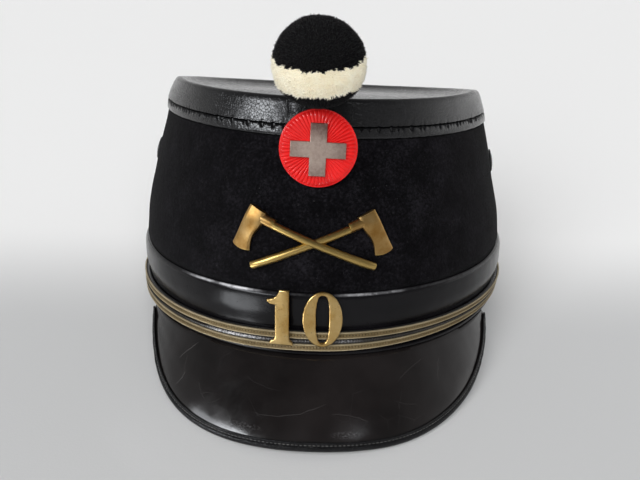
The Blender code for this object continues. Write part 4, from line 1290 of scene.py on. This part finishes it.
def axe(bm, side, lift, foot):
    """Adds one axe, flat on z 0. Side 1 has its head at -X, side -1 at +X."""

    def rod(start, end, height, *shape):
        ends = ((side * across, up, height) for across, up in (start, end))
        rounded_rod(bm, *ends, *shape)

    rod((-22.0, 8.2), foot, 1.5 + lift, *AXE_HAFT)
    rod((-20.6, 8.1), (-14.4, 5.6), 2.02, *AXE_COLLAR)
    axe_head(bm, side)


def make_axes(brass):
    """Two crossed axes as one casting, bent to follow the felt."""
    bm = bmesh.new()
    for side, lift, foot in AXES:
        axe(bm, side, lift, foot)
    add_piece("crossed_axes", placed("axes", bm, on_badge), brass, "axes_badge", 35.0)


def superellipse(half_width, half_height, shape, count):
    """Points of an oval: shape 2 is an ellipse, and more is squarer."""
    turns = TURN * np.arange(count) / count
    cos, sin = np.cos(turns), np.sin(turns)
    across = np.sign(cos) * np.abs(cos) ** (2 / shape) * half_width
    up = np.sign(sin) * np.abs(sin) ** (2 / shape) * half_height
    return np.stack((across, up), 1).tolist()


def make_numeral(name, x, outlines, posts, brass):
    """Upright plate with rounded edges in front of the strap, on posts that reach the headband."""
    bm = plate(outlines, NUMERAL_THICKNESS, NUMERAL_BEVEL, 2)
    for across in posts:
        rounded_rod(bm, (across, 3.0, -2.0), (across, 3.0, 0.4), *NUMERAL_POST)
    place = front_frame(headband_half_width, x, NUMERAL_HEIGHT, NUMERAL_OUT)
    add_piece("brass_" + name, placed(name, bm, place), brass, name, 30.0)


def make_numerals(brass):
    """A one with a flag and a foot, and a nought."""
    one = []
    for run in ONE_RUNS:
        steps = 1 if len(run) == 2 else 4
        one += [(across, up - ONE_MIDDLE) for across, up in smooth_path(run, steps)[:-1].tolist()]
    make_numeral("numeral_one", ONE_X, [one], (0.0,), brass)
    nought = [superellipse(*edge, 96) for edge in NOUGHT_EDGES]
    make_numeral("numeral_nought", NOUGHT_X, nought, (-5.35, 5.35), brass)


def make_vents(metal):
    """Domed buttons with a rolled edge, one on each side of the felt."""
    section = smooth_path(VENT_PROFILE, 2)
    angles = TURN * np.arange(64) / 64
    across = section_lengths(section, False)
    for name, side in (("left", -1), ("right", 1)):
        place = wall_frame(felt_half_width, side * VENT_ANGLE, VENT_HEIGHT, 0.3)
        points = turned((section[:, :1], section[:, 1:]), angles, place)
        mesh = turned_mesh("vent", points, across, VENT_RADIUS * TURN, closed=False)
        add_piece("vent_button_" + name, mesh, metal, "vent_" + name)


# ---------------------------------------------------------------- pompom


def crown_front(height, out):
    """Point at a distance out from the front of the crown, in the pompom's plane."""
    return Vector(wall(crown_half_width, angle_at(crown_half_width, POMPOM_CENTRE.x, height), height, out))


def colour_band(directions):
    """0 above the pompom's stripe, 1 on it and 2 below it, with uneven edges."""
    x, y, z = directions.T
    cos, sin = math.cos(POMPOM_STRIPE_TILT), math.sin(POMPOM_STRIPE_TILT)
    level = (z * cos - y * sin - x * math.sin(POMPOM_STRIPE_ROLL)) * POMPOM_RADIUS
    turn = np.arctan2(x, -y * cos - z * sin)
    lower, upper = POMPOM_STRIPE
    for count, size, phase in POMPOM_STRIPE_WAVES:
        lower = lower + size * np.sin(count * turn + phase)
        upper = upper + size * np.sin(count * turn + 2.3 * phase + 1.0)
    return np.where(level >= upper, 0, np.where(level > lower, 1, 2))


def pompom_lumps(directions):
    """How far the ball stands out in each direction; its foot is pressed in."""
    total = 0.0
    for i in range(10):
        wave = np.random.default_rng(60 + i).normal(0.0, 1.0, 3)
        total = total + np.sin(directions @ wave * (4.0 + i) + i)
    return total * 0.04 - 1.3 * between(-directions[:, 2], 0.45, 0.95)


def spiral_directions(count):
    """Directions spread evenly over a sphere, on a spiral."""
    index = np.arange(count) + 0.5
    level = 1 - 2 * index / count
    turn = index * TURN * GOLDEN_SHARE
    flat = np.sqrt(1 - level**2)
    return np.stack((flat * np.cos(turn), flat * np.sin(turn), level), 1)


def wool_core():
    """The ball under the pile: its points, its triangles and the direction of each triangle."""
    core = bmesh.new()
    bmesh.ops.create_icosphere(core, subdivisions=5, radius=1.0)
    spots = unit(np.array([vert.co for vert in core.verts]))
    faces = np.array([[vert.index for vert in face.verts] for face in core.faces])
    core.free()
    points = np.array(POMPOM_CENTRE) + spots * (POMPOM_RADIUS - 1.15 + pompom_lumps(spots))[:, None]
    return points, faces, unit(spots[faces].mean(1))


def wool_tufts():
    """The pile: seven points of each tapering tuft, and the direction of each tuft."""
    draw = np.random.default_rng(11)
    directions = spiral_directions(POMPOM_TUFTS)
    directions = unit(directions + draw.normal(0.0, 0.006, directions.shape))
    lumps = pompom_lumps(directions)
    reach = POMPOM_RADIUS + 0.1 + lumps + draw.normal(0.0, 0.1, POMPOM_TUFTS)
    sway = draw.normal(0.0, 1.0, (POMPOM_TUFTS, 3)) * 0.28
    centre = np.array(POMPOM_CENTRE)
    roots = centre + directions * (POMPOM_RADIUS - 1.4 + lumps)[:, None]
    tips = centre + directions * reach[:, None] + sway
    side = unit(np.cross(directions, draw.normal(0.0, 1.0, (POMPOM_TUFTS, 3))))
    other = np.cross(directions, side)
    thick = draw.uniform(0.17, 0.28, POMPOM_TUFTS)[:, None]
    corners = [(side * math.cos(a) + other * math.sin(a)) * thick for a in (0.0, TURN / 3, 2 * TURN / 3)]
    base = [roots + corner for corner in corners]
    waist = [roots * 0.35 + tips * 0.65 + corner * 0.8 for corner in corners]
    return np.stack(base + waist + [tips], 1), directions


def make_pompom():
    """Ball of short wool: a lumpy core under a dense pile of tapering tufts, in three bands."""
    black = wool_look("black_wool", (0.0008, 0.0008, 0.0011), (0.0042, 0.0039, 0.0047), 0.06)
    cream = wool_look("cream_wool", (0.9, 0.81, 0.6), (1.0, 0.97, 0.83), 0.3)
    shell, faces, face_directions = wool_core()
    tufts, directions = wool_tufts()
    face_bands, tuft_bands = colour_band(face_directions), colour_band(directions)
    bands = (("pompom_top", black, "pompom"), ("pompom_stripe", cream, None), ("pompom_foot", black, None))
    for band, (name, look, replaced) in enumerate(bands):
        wool = tufts[tuft_bands == band]
        used, skin = np.unique(faces[face_bands == band], return_inverse=True)
        points = np.concatenate((shell[used], wool.reshape(-1, 3)))
        hair = np.array(TUFT_FACES) + len(used) + np.arange(len(wool))[:, None, None] * 7
        triangles = np.concatenate((skin.reshape(-1, 3), hair.reshape(-1, 3)))
        mesh = mesh_from(name, points, [triangles], points[triangles][..., :2])
        add_piece(name, mesh, look, replaced, 180.0)


def make_stem(steel):
    """Bent wire: up through the loop, then forward into the pompom."""
    bend = crown_front(100.4, WIRE_OUT)
    inward = (POMPOM_CENTRE - bend).normalized()
    end = POMPOM_CENTRE - inward * (POMPOM_RADIUS - 6.7)
    upright = [crown_front(height, WIRE_OUT) for height in (93.5, 98.6)]
    route = [Vector(spot) for spot in smooth_path([*upright, bend + inward * 1.2, end], 6)]
    sections = []
    for before, spot, after in zip(route[:1] + route, route, route[1:] + route[-1:]):
        ahead = after - before
        first = ahead.cross(Vector((1.0, 0.0, 0.0))).normalized()
        sections.append(circle(spot, first, ahead.normalized().cross(first), WIRE_RADIUS, 12))
    bm = bmesh.new()
    lofted(bm, sections)
    add_piece("pompom_wire", placed("wire", bm, Matrix.Identity(4)), steel, "pompom_stem")


def make_socket(leather):
    """Leather loop: an arch over the front of the crown, with its feet on the crown."""
    columns = 40
    climb = np.concatenate(([0.0, 0.12], np.linspace(0.4, 12.8, 14), [13.08, LOOP_TALL]))
    rounding = np.concatenate(([0.2, 0.05], np.zeros(14), [0.05, 0.2]))
    place = np.linspace(-1.0, 1.0, columns)
    rows = []
    for up, thinner in zip(climb, rounding):
        height = LOOP_LOW + up
        angle = angle_at(crown_half_width, POMPOM_CENTRE.x + place * LOOP_HALF_WIDTH, height)
        rise = 1.2 + 0.5 * up / LOOP_TALL
        arch = rise * (1.0 - place**4)
        hollow = rise * np.maximum(0.0, 1.0 - (place / 0.88) ** 4)
        waver = 0.06 * np.sin(place * 9.0 + height * 0.8)
        outer = wall(crown_half_width, angle, height, LOOP_GAP + LOOP_THICKNESS + arch + waver - thinner)
        inner = wall(crown_half_width, angle, height, LOOP_GAP + hollow + thinner)
        rows.append(np.concatenate((outer, inner[::-1])))
    across = np.arange(2 * columns + 1) * 0.6
    points = np.stack(rows, 1)
    mesh = grid_mesh("socket", points, across, LOOP_LOW + climb, closed=True, caps="strip")
    add_piece("pompom_loop", mesh, leather, "pompom_socket", 50.0)


# ---------------------------------------------------------------- stage


def make_stage():
    """Pale plain floor, a little greyer under the hat and in front of it."""
    look = Look("pale_floor", (0.6, 0.61, 0.62), 0.9, Specular_IOR_Level=0.2)
    backward = look.spread(look.apart(look.here)["Y"], -30.0, 100.0, smooth=True)
    colour = look.colours(backward, (0.0, (0.63, 0.635, 0.64)), (1.0, (0.95, 0.95, 0.95)))
    material = look.shade(Base_Color=colour, Normal=look.relief((look.noise(0.8, 3.0, 0.6), 0.05)))
    bm = bmesh.new()
    bmesh.ops.create_grid(bm, x_segments=8, y_segments=8, size=FLOOR_HALF_SIZE)
    mesh = bpy.data.meshes.new("floor")
    bm.to_mesh(mesh)
    bm.free()
    mesh.materials.append(material)
    add_to_scene("floor", mesh)


def make_world():
    """Soft surroundings: bright low down at the sides and behind, dimmer overhead and in front."""
    world = bpy.data.worlds.new("soft_studio")
    bpy.context.scene.world = world
    sky = Nodes(world)
    spot = sky.apart(sky.node("TexCoord").outputs["Generated"])
    backward = sky.spread(spot["Y"], -1.0, 1.0)
    rightward = sky.spread(spot["X"], -1.0, 1.0)
    by_height = sky.greys(spot["Z"], ((0.0, 1.0), (0.07, 0.8), (0.3, 0.45), (0.6, 0.3), (0.8, 0.16)))
    by_depth = sky.greys(backward, ((0.0, 0.42), (0.3, 0.34), (0.42, 0.45), (0.56, 0.9), (1.0, 1.0)))
    by_side = sky.greys(rightward, ((0.0, 1.0), (0.72, 1.0), (0.92, 1.9)))
    light = sky.mixed(1.0, sky.mixed(1.0, by_height, by_depth, "MULTIPLY"), by_side, "MULTIPLY")
    seen = sky.node("LightPath").outputs["Is Camera Ray"]
    sky.put(sky.tree.nodes["Background"].inputs["Color"], sky.mixed(seen, light, BACKDROP))


def aim(thing, direction):
    thing.rotation_euler = direction.to_track_quat("-Z", "Y").to_euler()


def add_window(name, place, target, size, power):
    """Soft oval light that only shows in the shine of the leather and the brass."""
    data = bpy.data.lights.new(name, "AREA")
    data.shape = "ELLIPSE"
    data.size, data.size_y = size
    data.energy = power
    data.color = (0.93, 0.96, 1.0)
    made = add_to_scene(name, data)
    made.location = place
    aim(made, Vector(target) - Vector(place))
    made.visible_camera = False
    made.visible_diffuse = False


def make_lights():
    for window in WINDOWS:
        add_window(*window)
    data = bpy.data.lights.new("daylight", "SUN")
    data.energy = DAYLIGHT_POWER
    data.angle = DAYLIGHT_SPREAD
    made = add_to_scene("daylight", data)
    aim(made, Vector(DAYLIGHT_DIRECTION))
    made.visible_glossy = False


def make_camera():
    data = bpy.data.cameras.new("camera")
    data.lens = CAMERA_LENS
    data.sensor_width = 36.0
    data.clip_start = 0.01
    data.clip_end = 50.0
    camera = add_to_scene("camera", data)
    camera.location = CAMERA_PLACE
    camera.rotation_euler = CAMERA_TURN
    bpy.context.scene.camera = camera


def make_hat():
    grained = grained_look("grained_leather", shine_level=0.42)
    band = patent_look(
        "patent_leather", (0.0024, 0.0022, 0.0027), (0.18, 0.32), shine_level=0.2, edge_at=HEADBAND_EDGE
    )
    peak = patent_look(
        "peak_leather", (0.0058, 0.0048, 0.0048), (0.14, 0.28), 0.37, PEAK_SCRATCHES, PEAK_HIGHLIGHT_PATCHES
    )
    strap = strap_look()
    waxed = waxed_look()
    gold = braid_look()
    brass = brass_look("brass", (0.6, 0.4, 0.15), gloss=(0.24, 0.42))
    cast_brass = brass_look("cast_brass", (0.41, 0.248, 0.085), (0.36, 0.5), polished=(0.52, 0.36, 0.12))
    make_felt()
    make_crown(grained)
    make_flange(grained)
    make_headband(band)
    make_strap(strap)
    make_braid("upper", gold)
    make_braid("lower", gold)
    make_cord(waxed)
    make_peak(peak)
    make_binding(grained_look("binding_leather", shine_level=0.22, rough=4.0))
    make_stitches(thread_look())
    make_cockade()
    make_cross()
    make_axes(cast_brass)
    make_numerals(brass)
    make_vents(plain_metal_look("vent_metal", (0.015, 0.015, 0.016), 0.35, metallic=0.0))
    make_pompom()
    make_stem(plain_metal_look("steel_wire", (0.3, 0.3, 0.3), 0.4, metallic=1.0))
    make_socket(grained_look("loop_leather", shine_level=0.15))


bpy.context.scene.view_settings.view_transform = "Standard"
make_hat()
make_stage()
make_world()
make_lights()
make_camera()
